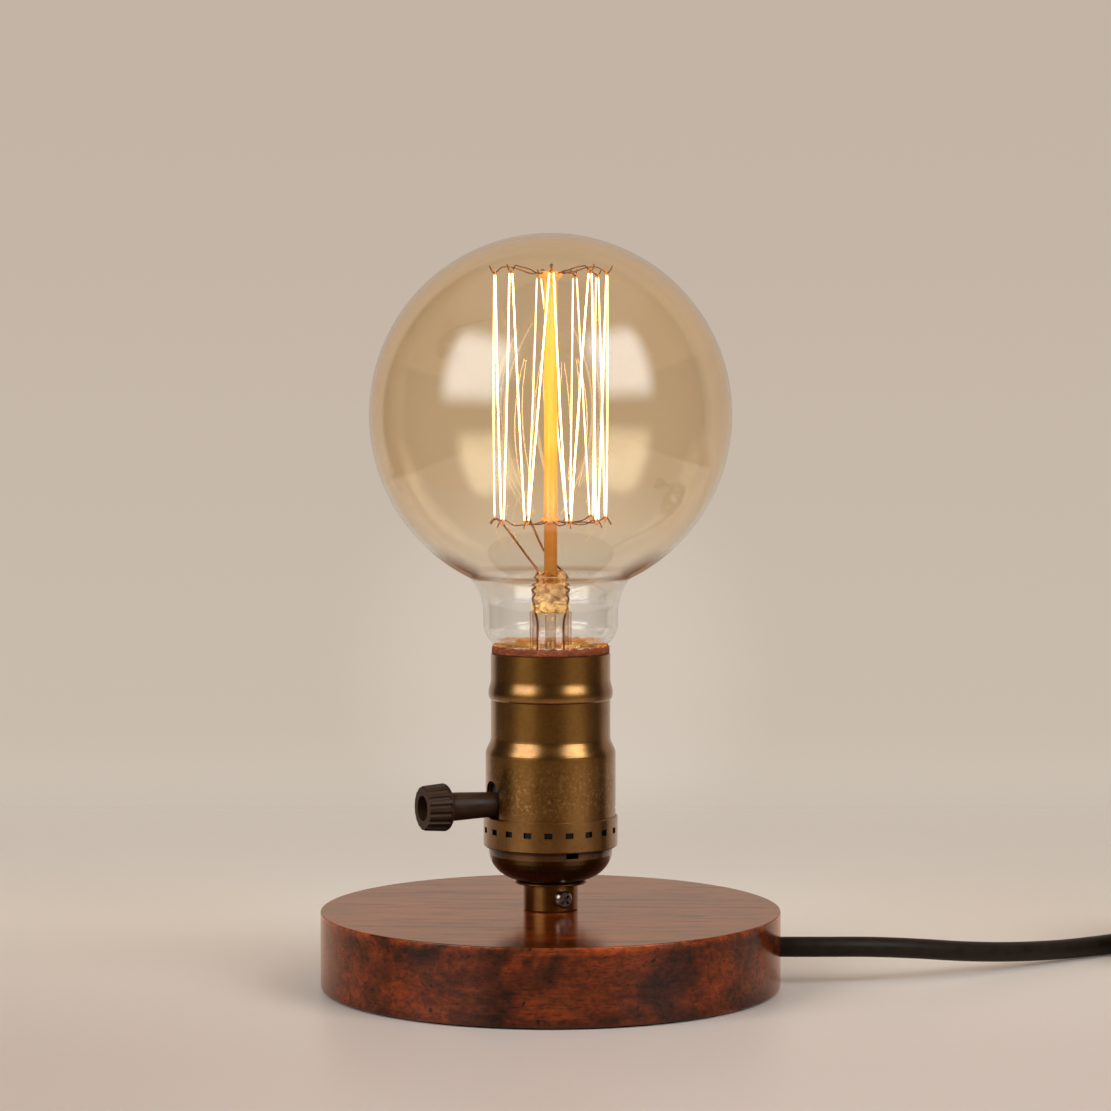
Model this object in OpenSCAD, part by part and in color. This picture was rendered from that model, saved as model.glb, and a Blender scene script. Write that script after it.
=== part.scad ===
// Bare bulb table lamp: a round wooden block, a brass lampholder with a turn key and a
// large round filament bulb. Millimetres, +Z up, origin at the middle of the underside.

/* [Base] */
// Diameter of the wooden block
base_d = 121; // [110:1:150]
// Height of the wooden block
base_h = 20; // [18:0.5:30]
// Rounding of the block's upper edge
base_edge = 0.4; // [0.4:0.1:2]
// Width of bare wood round the felt disc under the block
pad_in = 5.5; // [4.5:0.5:15]
// Thickness of the felt disc
pad_t = 1.6; // [1.2:0.1:2.5]
// How far the felt stands out below the wood
pad_proud = 0.4; // [0.3:0.05:0.8]
// Diameter of the pocket in the underside
pocket_d = 54; // [52:1:80]
// Wood left over the pocket
roof_t = 6; // [5:0.5:10]

/* [Lampholder cap] */
// Diameter of the bushing under the cap
hub_d = 14.3; // [13.5:0.1:15.5]
// Height of the bushing below its collar
hub_h = 7; // [6:0.5:12]
// Diameter of the bushing's collar
collar_d = 19.2; // [18:0.1:20]
// Thickness of the bushing's collar
collar_t = 0.8; // [0.8:0.1:2]
// Height of the bowl from the collar to the ring
bowl_h = 9; // [8:0.1:14]
// Wall of the cap's sheet metal
cap_t = 0.45; // [0.35:0.05:0.6]
// Height of the ring
ring_h = 8.1; // [7.5:0.1:9]
// Number of small windows in the ring
windows = 20; // [12:1:24]
// Width of a window
window_w = 2.1; // [1.5:0.1:2.6]
// Height of a window
window_h = 1.5; // [1:0.1:2.5]

/* [Lampholder shell] */
// Outer diameter of the shell round the switch
shell_low_d = 34.2; // [33.8:0.1:35]
// Outer diameter of the shell round the bulb's screw
shell_top_d = 31.4; // [31.4:0.1:32.4]
// Wall of the shell
shell_t = 0.5; // [0.4:0.05:0.55]
// Height of the shell above the cap
shell_h = 42.6; // [42:0.1:46]
// Height of the shoulder's lower edge above the cap
shoulder_z = 16.2; // [15.5:0.1:18]
// How far the bead stands out of the shell
bead_out = 0.65; // [0.3:0.05:1]
// Wall of the fibre sleeve inside the shell
liner_t = 0.6; // [0.4:0.05:0.7]
// How far the fibre sleeve stands above the shell
liner_up = 1.85; // [1:0.05:3]

/* [Turn key] */
// Direction of the key round the lamp, 270 is the front
key_angle = 205; // [180:1:240]
// Height of the key's axis above the cap
key_z = 3.6; // [3.5:0.1:4.2]
// Diameter of the grip at its outer end
grip_d = 11.6; // [9:0.1:12]
// Diameter of the grip at its inner end
grip_wide_d = 12.4; // [12.2:0.1:14]
// Length of the grip
grip_l = 6.8; // [5:0.1:9]
// Distance of the grip's inner end from the lamp's axis
grip_r = 29.7; // [26:0.1:34]
// Number of flutes round the grip
flutes = 18; // [12:1:20]
// Diameter of the key's stem at the shell
stem_d = 6.4; // [6:0.1:6.6]
// Diameter of the key's stem at the grip
stem_wide_d = 7.4; // [6.8:0.1:8]
// Diameter of the metal shaft inside the key
shaft_d = 3; // [2.6:0.1:3.4]

/* [Bulb] */
// Diameter of the glass globe
globe_d = 95; // [90:1:125]
// Height of the glass neck's upper end above the bulb's foot
neck_h = 40.1; // [38:0.1:50]
// Wall of the glass
glass_t = 0.9; // [0.6:0.1:1.2]
// Diameter of the glass neck
neck_d = 35.4; // [34:0.1:37]
// Radius of the hollow curve between globe and neck
neck_fillet = 10; // [7:0.5:12]
// Diameter of the ring of filament hooks
cage_d = 30.4; // [26:0.2:31]
// Distance from the upper filament hooks to the top of the globe
cage_gap = 10.4; // [9:0.1:20]
// Diameter of the filament as seen
filament_d = 0.5; // [0.3:0.05:0.5]
// Diameter of the hook wires
hook_d = 0.4; // [0.3:0.05:0.4]
// Diameter of the glass rod
rod_d = 3.5; // [3:0.1:4.5]

/* [Cord] */
// Diameter of the cord
cord_d = 5.4; // [5:0.1:5.4]
// Height of the cord hole's axis above the surface
cord_z = 10.2; // [9.8:0.1:10.4]
// Whole turns in the coil beside the part turn that it starts with
coil_loops = 8; // [5:1:9]
// Radius at the middle of the coil's turns
coil_r = 31; // [29:0.5:34]
// Spacing of the coil's turns
coil_pitch = 5.9; // [5.85:0.05:6.2]

/* [Plug] */
// Width of the plug
plug_w = 25; // [24:0.5:30]
// Thickness of the plug
plug_t = 13; // [11:0.5:14]
// Length of the plug
plug_l = 34; // [28:1:42]
// Length of the plug's strain relief
relief_l = 20; // [20:1:40]
// Length of a blade
blade_l = 17; // [15.9:0.1:18.3]

/* [Hidden] */
$fn = 72;
slim = 0.05;        // clearance of pieces that fit without moving
run = 0.06;         // radial clearance of a turning fit
soft = 0.3;         // clearance round soft pieces
through = 1;        // how far a cut runs past a face

// Heights of the wooden block and what it holds
wood_z = pad_proud;
base_top = wood_z + base_h;
recess_z = pad_t;
pad_d = base_d - 2 * pad_in;
roof_z = base_top - roof_t;
washer_t = 1;
washer_r = 10;
spring_t = 1;
spring_r = 8;
nut_t = 3;
nut_af = 14;
nut_z = roof_z - washer_t - spring_t - nut_t;
tube_r = 4.8;
tube_bore_r = 3.6;
tube_z = nut_z - 1;
cord_hole_r = cord_d / 2 + 0.4;
cord_end_x = 15.5;
clamp_x = 20;
clamp_w = 5;
clamp_t = 1;
clamp_screw_y = cord_d / 2 + 4.4;
clamp_screw_r = 1.25;
clamp_head_r = 2.3;
clamp_head_t = 1.6;
clamp_screw_l = 4;

// Heights and radii of the lampholder, from the block upwards
collar_z = base_top + hub_h;
cap_z = collar_z + collar_t;
ring_z = cap_z + bowl_h;
ring_top = ring_z + ring_h;
ledge_z = ring_z + cap_t;
shell_low_r = shell_low_d / 2;
shell_top_r = shell_top_d / 2;
cap_fit = 0.1;
ring_in_r = shell_low_r + cap_fit;
ring_r = ring_in_r + cap_t;
ledge_w = 0.9;
bowl_r = ring_in_r - ledge_w;
bowl_floor_r = 7.2;
bowl_top = ring_z - 0.8;
hub_neck_r = 6.6;
hub_lip_r = 7.2;
hub_lip_t = 0.65;
hub_top = cap_z + cap_t + hub_lip_t;
hub_screw_angle = 295;
hub_screw_r = 1.5;
hub_head_r = 2.3;
hub_head_t = 1.8;
hub_screw_z = base_top + hub_h / 2;
window_z = ring_top - 3.4;
window_first = 268.2;
pry_w = 3.4;
pry_h = 1.6;
pry_angle = 290.4;

flange_t = 1.1;
flange_z = ledge_z + slim;
skirt_z = flange_z + flange_t + slim;
shell_top = ring_top + shell_h;
shoulder_h = 4.5;
shoulder_low = ring_top + shoulder_z;
shoulder_high = shoulder_low + shoulder_h;
bead_h = 5.6;
bead_high = shell_top - 6.5;
bead_low = bead_high - bead_h;
liner_gap = 0.1;
liner_top = shell_top + liner_up;
body_r = shell_low_r - shell_t - liner_gap - liner_t - soft;
flange_r = ring_in_r - soft;
body_top = ring_top + 12.2;
roof_in = body_top - 1.9;
room_near = 9.5;
room_far = 7;
room_w = 13;

key_axis = ring_top + key_z;
slot_w = stem_wide_d + 0.6;
slot_top = key_axis + 6.1;
flat_deep = 3.6;
flat_y = body_r - flat_deep;
flat_w = 9.2;
plate_w = 8;
plate_t = 1;
wire_screw_r = 1.7;
wire_head_r = 3.2;
wire_head_t = 1.6;
leaf_t = 0.5;
rotor_r = 5.4;
rotor_near = 4;
rotor_far = 3;
band_near = 2;
band_far = 0;
band_t = 0.8;
stem_in = body_r + soft;
shaft_out = grip_r - 2;
bearing_l = 2.5;
rivet_r = 1;
rivet_x = 5;
shell_rivet_x = 10.7;
bracket_t = 0.6;
bracket_top = body_top + bracket_t;

// Screw thread of the bulb and of the sleeve that takes it
thread_lead = 3.629;
thread_depth = 0.85;
thread_root = 12.2;
thread_gap = 0.35;
thread_fade = 1.8;
thread_sides = 24;
thread_steps = 6;
sleeve_r = 14.05;
sleeve_top = shell_top - 1.8;

// The bulb stands on the centre contact
contact_gap = 0.15;
contact_rise = 1.55;
foot_z = body_top + leaf_t + contact_rise + contact_gap;
globe_r = globe_d / 2;
neck_r = neck_d / 2;
hollow_x = neck_r + neck_fillet;
hollow_z = foot_z + neck_h;
hollow_drop = sqrt((globe_r + neck_fillet) * (globe_r + neck_fillet) - hollow_x * hollow_x);
globe_z = hollow_z + hollow_drop;
bulb_top = globe_z + globe_r;
cap_l = 27.1;
cap_rim = foot_z + cap_l;
cap_skirt = 3.2;
cap_low = foot_z + cap_skirt;
cap_plain = 6.2;
cap_thread_low = foot_z + cap_plain;
cap_thread_high = cap_rim - 2.7;
cap_sheet = 0.35;
cap_in_r = thread_root - cap_sheet;
insulator_r = 8.4;
throat_r = 11.3;
throat_z = cap_rim + 1.4;
shoulder_bend = 7;
shoulder_up = 9.2;
neck_low = cap_rim + shoulder_up;
glass_in_cap = 5.8;
glass_low = cap_rim - glass_in_cap;
foot_r = 4.7;
foot_t = 1.3;
stem_r = 5.5;
stem_wall = 0.7;
pinch_up = 11.7;
pinch_low = cap_rim + pinch_up;
pinch_h = 9.5;
pinch_w = 9.8;
pinch_t = 5.2;
pinch_top = pinch_low + pinch_h;
exhaust_r = 1.4;
cage_r = cage_d / 2;
cage_up = 14.6;
cage_low = pinch_top + cage_up;
cage_high = bulb_top - cage_gap;
hook_tip = 1.3;
button_r = 3.2;
button_t = 2;
rod_top = cage_high - button_t / 2 - 0.3;
hook_r = cage_r + 1.2;
lead_d = 0.6;
// Hooks of the cage, degrees round the rod from the front towards the right
top_hooks = [-72, -42, 1, 42, 74, 126, 155, 192];
low_hooks = [-55, -24, 18, 52, 108, 135, 162];
first_end = -104;
last_end = 204;

// Route of the cord from the block to the coil, and on from the coil to the plug
cord_route = [
    [base_d / 2, 0, cord_z], [72, 0, 10.2], [85, 2.2, 9.8], [98, 7.5, 8.4], [111, 15, 6.4],
    [125, 24.5, 4.6], [141, 36.5, 3.2], [157, 48.5, 2.8], [167, 56, 3.2], [177, 63.5, 3.6]
];
end_route = [
    [0, 0, 0], [4, -8, -0.2], [7, -17, -1.4], [8.5, -27, -4.6], [8, -37, -8.8],
    [6, -47, -12.6], [3, -57, -14.6]
];
run_dir = [0.8, 0.6];
coil_z = 3.6;
coil_layers = 4;
coil_end = 30;
coil_rings = 24;
coil_start = 180 - atan2(run_dir.x, run_dir.y);
coil_sweep = coil_start - coil_end + 360 * coil_loops;
layer_sweep = coil_sweep / coil_layers;
coil_half = coil_pitch * layer_sweep / 360 / 2;
coil_out = coil_r + coil_half;
coil_in = coil_r - coil_half;
route_last = cord_route[len(cord_route) - 1];
coil_centre = [
    route_last.x + cord_d * run_dir.x + coil_out * run_dir.y,
    route_last.y + cord_d * run_dir.y - coil_out * run_dir.x
];
coil_high = coil_z + (coil_layers - 1) * coil_pitch;
coil_way = [sin(coil_end), -cos(coil_end), 0];
coil_last = [
    coil_centre.x + coil_out * cos(coil_end) + cord_d * coil_way.x,
    coil_centre.y + coil_out * sin(coil_end) + cord_d * coil_way.y,
    coil_high
];
plug_at = coil_last + end_route[len(end_route) - 1];
plug_way = [-0.28, -0.96, 0];
tie_t = 0.6;
tie_w = 10;
blade_gap = 12.7;
blade_w = 6.3;
blade_t = 1.5;
blade_hole_r = 1.55;
blade_hole_in = 5;

// ---- Curves -------------------------------------------------------------------------

function unit(v) = v / norm(v);

// Points on an arc, from angle a to angle b
function arc(x, y, r, a, b, n) =
    [for (i = [0 : n]) let (t = a + (b - a) * i / n) [x + r * cos(t), y + r * sin(t)]];

// A smooth step from 0 to 1
function ease(t) = (1 - cos(180 * max(0, min(1, t)))) / 2;

function reversed(p) = [for (i = [len(p) - 1 : -1 : 0]) p[i]];

// A point between b and c on the smooth curve through a, b, c and d
function between(a, b, c, d, t) =
    b + t / 2 * (c - a + t * (2 * a - 5 * b + 4 * c - d + t * (3 * (b - c) + d - a)));

// A smooth curve through the points, with n steps between two of them
function smooth(p, n) = concat(
    [for (i = [0 : len(p) - 2], k = [0 : n - 1])
        between(p[max(i - 1, 0)], p[i], p[i + 1], p[min(i + 2, len(p) - 1)], k / n)],
    [p[len(p) - 1]]
);

// The path with its first and last millimetre straight
function straight_ends(p, first, last) = concat(
    [p[0], p[0] + first],
    [for (i = [1 : len(p) - 2]) p[i]],
    [p[len(p) - 1] - last, p[len(p) - 1]]
);

function heading(p, i) =
    i == 0 ? unit(p[1] - p[0])
    : i == len(p) - 1 ? unit(p[i] - p[i - 1])
    : unit(unit(p[i + 1] - p[i]) + unit(p[i] - p[i - 1]));

// A side direction carried along the path without twisting
function carried(dirs, side, i) =
    i == len(dirs) ? []
    : let (next = unit(side - (side * dirs[i]) * dirs[i]))
      concat([next], carried(dirs, next, i + 1));

// Triangles between rings of n points, closed round the ring
function band_faces(rows, n, closed) =
    [for (i = [0 : rows - (closed ? 1 : 2)], k = [0 : n - 1], half = [0, 1])
        let (j = (i + 1) % rows, m = (k + 1) % n)
        half == 0 ? [i * n + k, j * n + k, j * n + m] : [i * n + k, j * n + m, i * n + m]];

// A round tube of n sides swept along a path
module swept(path, d, n) {
    dirs = [for (i = [0 : len(path) - 1]) heading(path, i)];
    lean = abs(dirs[0].z) < 0.9 ? [0, 0, 1] : [1, 0, 0];
    sides = carried(dirs, unit(cross(dirs[0], lean)), 0);
    points = [for (i = [0 : len(path) - 1], k = [0 : n - 1])
        let (a = 360 * k / n, up = cross(dirs[i], sides[i]))
        path[i] + d / 2 * (cos(a) * sides[i] + sin(a) * up)];
    last = (len(path) - 1) * n;
    ends = [for (k = [1 : n - 2], half = [0, 1])
        half == 0 ? [0, k, k + 1] : [last, last + k + 1, last + k]];
    polyhedron(points, concat(band_faces(len(path), n, false), ends));
}

// A turned ring from points [radius, height, share of the thread's depth]. A share above 0
// raises crests from the radius, and one below 0 sinks roots into it.
module threaded_ring(outline, n) {
    points = [for (p = outline, k = [0 : n - 1])
        let (a = 360 * k / n, wave = cos(360 * p.y / thread_lead - a),
             r = p.x + abs(p.z) * thread_depth / 2 * (wave + sign(p.z)))
        [r * cos(a), r * sin(a), p.y]];
    polyhedron(points, band_faces(len(outline), n, true));
}

// Points of a thread's wall between two heights, fading out at both ends
function thread_wall(r, low, high, side) =
    let (step = thread_lead / thread_steps, count = floor((high - low) / step))
    [for (i = [0 : count]) let (z = low + i * (high - low) / count)
        [r, z, side * min(1, (z - low) / thread_fade, (high - z) / thread_fade)]];

module ring(r_out, r_in, z, h) {
    translate([0, 0, z]) difference() {
        cylinder(r = r_out, h = h);
        translate([0, 0, -through]) cylinder(r = r_in, h = h + 2 * through);
    }
}

// Children drawn along +Z come out along the key's axis
module on_key_axis() {
    rotate([0, 0, key_angle]) translate([0, 0, key_axis]) rotate([0, 90, 0]) children();
}

// Children drawn along +Z come out sideways of the key's axis
module sideways() {
    rotate([0, 0, key_angle]) translate([0, 0, key_axis]) rotate([-90, 0, 0]) children();
}

module round_box(w, d, h, r) {
    linear_extrude(h) {
        square([w - 2 * r, d], center = true);
        square([w, d - 2 * r], center = true);
        for (x = [-1, 1], y = [-1, 1]) {
            translate([x * (w / 2 - r), y * (d / 2 - r)]) circle(r);
        }
    }
}

// ---- Base ---------------------------------------------------------------------------

module wood_base() {
    r = base_d / 2;
    foot = 0.5;
    outline = concat(
        [[tube_r + slim, base_top]],
        reversed(arc(r - base_edge, base_top - base_edge, base_edge, 0, 90, 6)),
        reversed(arc(r - foot, wood_z + foot, foot, -90, 0, 4)),
        [[pad_d / 2 + soft, wood_z], [pad_d / 2 + soft, recess_z], [pocket_d / 2, recess_z],
         [pocket_d / 2, roof_z], [tube_r + slim, roof_z]]
    );
    color("#4a2c22") difference() {
        rotate_extrude($fn = 144) polygon(outline);
        translate([pocket_d / 4, 0, cord_z]) rotate([0, 90, 0])
            cylinder(r = cord_hole_r, h = r);
        for (y = [-1, 1]) {
            translate([clamp_x, y * clamp_screw_y, roof_z - through])
                cylinder(r = clamp_screw_r + slim, h = clamp_screw_l + through + slim, $fn = 24);
        }
    }
}

module base_pad() {
    color("#1d1c1b") cylinder(d = pad_d, h = pad_t, $fn = 144);
}

module threaded_tube() {
    color("#b9a36c") ring(tube_r, tube_bore_r, tube_z, hub_top - 0.4 - tube_z);
}

module flat_washer() {
    color("#b5b5b2") ring(washer_r, tube_r + slim, roof_z - washer_t, washer_t);
}

module lock_washer() {
    slit = 1.2;
    color("#a8a8a5") difference() {
        ring(spring_r, tube_r + slim, roof_z - washer_t - spring_t, spring_t);
        translate([-spring_r - through, -slit / 2, nut_z])
            cube([spring_r, slit, nut_t + spring_t + through]);
    }
}

module hex_nut() {
    color("#c2c2bf") translate([0, 0, nut_z]) difference() {
        cylinder(r = nut_af / sqrt(3), h = nut_t, $fn = 6);
        translate([0, 0, -through]) cylinder(r = tube_r + slim, h = nut_t + 2 * through);
    }
}

module cord_clamp() {
    inner = cord_d / 2 + slim;
    outer = inner + clamp_t;
    ear = clamp_screw_y + clamp_head_r + 0.7;
    rise = roof_z - cord_z;
    color("#d8d4c8") translate([clamp_x - clamp_w / 2, 0, cord_z])
    difference() {
        rotate([90, 0, 90]) linear_extrude(clamp_w) {
            difference() {
                union() {
                    circle(outer);
                    translate([-outer, 0]) square([2 * outer, rise]);
                    translate([-ear, rise - clamp_t]) square([2 * ear, clamp_t]);
                }
                circle(inner);
                translate([-inner, 0]) square([2 * inner, rise + through]);
            }
        }
        for (y = [-1, 1]) {
            translate([clamp_w / 2, y * clamp_screw_y, rise - 2 * clamp_t])
                cylinder(r = clamp_screw_r + slim, h = 3 * clamp_t, $fn = 24);
        }
    }
}

module clamp_screws() {
    head_z = roof_z - clamp_t - clamp_head_t;
    slot_d = 0.8;
    color("#c9c9c6") for (y = [-1, 1]) {
        translate([clamp_x, y * clamp_screw_y, head_z]) difference() {
            union() {
                cylinder(r = clamp_head_r, h = clamp_head_t);
                cylinder(r = clamp_screw_r, h = clamp_head_t + clamp_t + clamp_screw_l, $fn = 24);
            }
            translate([-clamp_head_r - through, -0.4, -through])
                cube([2 * (clamp_head_r + through), 0.8, through + slot_d]);
        }
    }
}

module cord_tail() {
    color("#161616") translate([cord_end_x, 0, cord_z]) rotate([0, 90, 0])
        cylinder(d = cord_d, h = base_d / 2 - cord_end_x);
}

// A wire from the cord's end, up the threaded tube to its terminal
module inner_wire(side) {
    wire_d = 1.8;
    apart = 1.6;
    outward = [-sin(key_angle), cos(key_angle)] * side;
    reach = flat_y + plate_t + wire_d / 2 + slim;
    top = key_axis - wire_head_r - soft;
    low = recess_z + 3.2;
    near = outward * apart;
    far = outward * reach;
    half = outward * (reach + apart) / 2;
    start_y = near.y > 0 ? 1.3 : -1.3;
    route = [
        [cord_end_x - 0.1, start_y, cord_z], [cord_end_x - 3, start_y, cord_z - 0.3],
        [8.5, start_y, (cord_z + low) / 2], [4.5, (start_y + near.y) / 2, low + 0.4],
        [1.8 + near.x / 2, near.y, low], [near.x, near.y, low + 1.8],
        [near.x, near.y, tube_z + 4], [near.x, near.y, base_top],
        [near.x, near.y, collar_z], [near.x, near.y, hub_top + 1.5],
        [half.x, half.y, hub_top + 4], [far.x * 0.95, far.y * 0.95, ledge_z - 1.4],
        [far.x, far.y, ledge_z + 1.5], [far.x, far.y, top]
    ];
    swept(smooth(route, 3), wire_d, 6);
}

module line_wire() {
    color("#1b1b1b") inner_wire(1);
}

module neutral_wire() {
    color("#e8e6df") inner_wire(-1);
}

// ---- Lampholder ---------------------------------------------------------------------

module cap_hub() {
    r = hub_d / 2;
    bore = tube_r + slim;
    edge = 0.3;
    color("#b08d45") difference() {
        rotate_extrude() polygon([
            [bore, base_top], [r - edge, base_top], [r, base_top + edge], [r, collar_z],
            [collar_d / 2 - edge, collar_z], [collar_d / 2, collar_z + edge],
            [collar_d / 2, cap_z - edge], [collar_d / 2 - edge, cap_z], [hub_neck_r, cap_z],
            [hub_neck_r, cap_z + cap_t], [hub_lip_r, cap_z + cap_t], [hub_lip_r, hub_top],
            [bore, hub_top]
        ]);
        rotate([0, 0, hub_screw_angle]) translate([0, 0, hub_screw_z]) rotate([0, 90, 0])
            cylinder(r = hub_screw_r + slim, h = r + through, $fn = 24);
    }
}

module hub_screw() {
    seat = hub_d / 2;
    dome = 0.5;
    color("#cfcfcb") rotate([0, 0, hub_screw_angle]) translate([0, 0, hub_screw_z])
    rotate([0, 90, 0]) difference() {
        union() {
            translate([0, 0, tube_r + slim]) cylinder(r = hub_screw_r, h = seat - tube_r, $fn = 24);
            rotate_extrude() polygon([
                [0, seat + slim], [hub_head_r, seat + slim], [hub_head_r, seat + hub_head_t - dome],
                [hub_head_r - dome, seat + hub_head_t], [0, seat + hub_head_t]
            ]);
        }
        for (turn = [45, 135]) {
            rotate([0, 0, turn]) translate([-1.5, -0.3, seat + hub_head_t - 1])
                cube([3, 0.6, 2]);
        }
    }
}

// The bowl's curve, drawn in by the wall w
function bowl_curve(w) =
    [for (i = [0 : 10]) let (t = 9 * i)
        [bowl_floor_r + (bowl_r - bowl_floor_r - w) * sin(t),
         bowl_top - (bowl_top - cap_z - w) * cos(t)]];

module socket_cap() {
    lip = 0.2;
    fold = 0.35;
    outline = concat(
        [[hub_neck_r + slim, cap_z]],
        bowl_curve(0),
        [[bowl_r, ring_z], [ring_r - fold, ring_z], [ring_r, ring_z + fold],
         [ring_r, ring_top - lip], [ring_r - lip, ring_top], [ring_in_r, ring_top],
         [ring_in_r, ledge_z], [bowl_r - cap_t, ledge_z]],
        reversed(bowl_curve(cap_t)),
        [[hub_neck_r + slim, cap_z + cap_t]]
    );
    color("#b8934a") difference() {
        rotate_extrude($fn = 96) polygon(outline);
        for (i = [0 : windows - 1]) {
            rotate([0, 0, window_first + 360 * i / windows])
                translate([ring_in_r - through, -window_w / 2, window_z - window_h / 2])
                    cube([cap_t + 2 * through, window_w, window_h]);
        }
        rotate([0, 0, pry_angle]) translate([bowl_r - 3, -pry_w / 2, ring_z - pry_h + 0.1])
            cube([4, pry_w, pry_h]);
    }
}

// The bead's shape from its low edge, t = 0, to its high edge, t = 1: round below, drawn out above
function bead_shape(t) =
    let (round = 0.32)
    t < round ? sqrt(1 - (1 - t / round) * (1 - t / round)) : ease((1 - t) / (1 - round));

// The shell's curve from the skirt up, drawn in by w
function shell_curve(w, bead) = concat(
    [for (i = [0 : 8])
        [shell_low_r - w - (shell_low_r - shell_top_r) * ease(i / 8),
         shoulder_low + (shoulder_high - shoulder_low) * i / 8]],
    [for (i = [0 : 14]) let (t = i / 14)
        [shell_top_r - w + bead * bead_shape(t), bead_low + (bead_high - bead_low) * t]]
);

// The slot that the key's stem comes through, with an arched top
module key_slot(low) {
    rotate([0, 0, key_angle]) {
        translate([0, -slot_w / 2, low - through])
            cube([2 * ring_r, slot_w, slot_top - slot_w / 2 - low + through]);
        translate([0, 0, slot_top - slot_w / 2]) rotate([0, 90, 0])
            cylinder(d = slot_w, h = 2 * ring_r);
    }
}

module socket_shell() {
    outline = concat(
        [[shell_low_r, skirt_z]], shell_curve(0, bead_out), [[shell_top_r, shell_top]],
        [[shell_top_r - shell_t, shell_top]], reversed(shell_curve(shell_t, bead_out)),
        [[shell_low_r - shell_t, skirt_z]]
    );
    color("#bd9a50") difference() {
        rotate_extrude($fn = 96) polygon(outline);
        key_slot(skirt_z);
    }
}

module insulating_liner() {
    gap = shell_t + liner_gap;
    outline = concat(
        [[shell_low_r - gap, skirt_z]], shell_curve(gap, 0), [[shell_top_r - gap, liner_top]],
        [[shell_top_r - gap - liner_t, liner_top]], reversed(shell_curve(gap + liner_t, 0)),
        [[shell_low_r - gap - liner_t, skirt_z]]
    );
    color("#8a4b3a") difference() {
        rotate_extrude($fn = 96) polygon(outline);
        key_slot(skirt_z);
    }
}

module socket_body() {
    height = body_top - flange_z;
    color("#232120") rotate([0, 0, key_angle]) difference() {
        union() {
            translate([0, 0, flange_z]) cylinder(r = flange_r, h = flange_t);
            translate([0, 0, flange_z]) cylinder(r = body_r, h = height);
        }
        translate([-room_far, -room_w / 2, flange_z - through])
            cube([room_far + room_near, room_w, roof_in - flange_z + through]);
        for (y = [-1, 1]) {
            translate([-flat_w / 2, y > 0 ? flat_y : -flat_y - 8, flange_z - through])
                cube([flat_w, 8, height + 2 * through]);
        }
        translate([-room_far - bearing_l, 0, key_axis]) rotate([0, 90, 0])
            cylinder(d = shaft_d + 2 * run, h = body_r * 3, $fn = 48);
        translate([0, -body_r, key_axis]) rotate([-90, 0, 0])
            cylinder(r = wire_screw_r + slim, h = 2 * body_r, $fn = 24);
        translate([-rivet_x, 0, roof_in - through])
            cylinder(r = rivet_r + slim, h = body_top - roof_in + 2 * through, $fn = 24);
        for (x = [-1, 1]) {
            translate([x * shell_rivet_x, 0, body_top - 3])
                cylinder(r = rivet_r + slim, h = 3 + through, $fn = 24);
        }
    }
}

module screw_shell() {
    bore = thread_root + thread_depth + thread_gap;
    wall = sleeve_r - bore;
    low = bracket_top + 4.6;
    outline = concat(
        [[bore - 1, bracket_top, 0], [sleeve_r, bracket_top, 0], [sleeve_r, sleeve_top, 0],
         [bore, sleeve_top, 0]],
        reversed(thread_wall(bore, low, sleeve_top - wall, -1)),
        [[bore, bracket_top + wall, 0], [bore - 1, bracket_top + wall, 0]]
    );
    color("#c9a24b") threaded_ring(outline, thread_sides);
}

module shell_rivets() {
    head_r = 1.4;
    color("#c9c9c6") rotate([0, 0, key_angle]) for (x = [-1, 1]) {
        translate([x * shell_rivet_x, 0, body_top - 3 + slim])
            cylinder(r = rivet_r, h = 3 + bracket_t, $fn = 24);
        translate([x * shell_rivet_x, 0, bracket_top]) cylinder(r = head_r, h = 0.6, $fn = 24);
    }
}

module centre_contact() {
    w = 5;
    rise = contact_rise;
    color("#cfae5e") rotate([0, 0, key_angle]) translate([0, 0, body_top]) difference() {
        rotate([90, 0, 0]) translate([0, 0, -w / 2]) linear_extrude(w) polygon([
            [-7, 0], [-3.2, 0], [-1.2, rise], [1.6, rise], [2.8, rise - 0.7], [2.8, rise - 0.2],
            [1.8, rise + leaf_t], [-1.4, rise + leaf_t], [-3.4, leaf_t], [-7, leaf_t]
        ]);
        translate([-rivet_x, 0, -through]) cylinder(r = rivet_r + slim, h = 2 * through, $fn = 24);
    }
}

module contact_rivet() {
    head_r = 1.5;
    head_t = 0.5;
    color("#c9c9c6") rotate([0, 0, key_angle]) translate([-rivet_x, 0, 0]) {
        translate([0, 0, roof_in - leaf_t - head_t]) cylinder(r = head_r, h = head_t, $fn = 24);
        translate([0, 0, roof_in - leaf_t - head_t])
            cylinder(r = rivet_r, h = body_top - roof_in + 2 * leaf_t + 2 * head_t, $fn = 24);
        translate([0, 0, body_top + leaf_t]) cylinder(r = head_r, h = head_t, $fn = 24);
    }
}

module switch_leaf() {
    w = 4;
    dip = roof_in - (key_axis + rotor_r) - leaf_t - 0.2;
    color("#cfae5e") rotate([0, 0, key_angle]) translate([0, 0, roof_in]) difference() {
        rotate([90, 0, 0]) translate([0, 0, -w / 2]) linear_extrude(w) polygon([
            [-6.8, 0], [-3, 0], [-1, -dip], [2.5, -dip], [5, -0.1], [5, -0.1 - leaf_t],
            [2.7, -dip - leaf_t], [-1.2, -dip - leaf_t], [-3.2, -leaf_t], [-6.8, -leaf_t]
        ]);
        translate([-rivet_x, 0, -2 * through])
            cylinder(r = rivet_r + slim, h = 3 * through, $fn = 24);
    }
}

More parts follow.
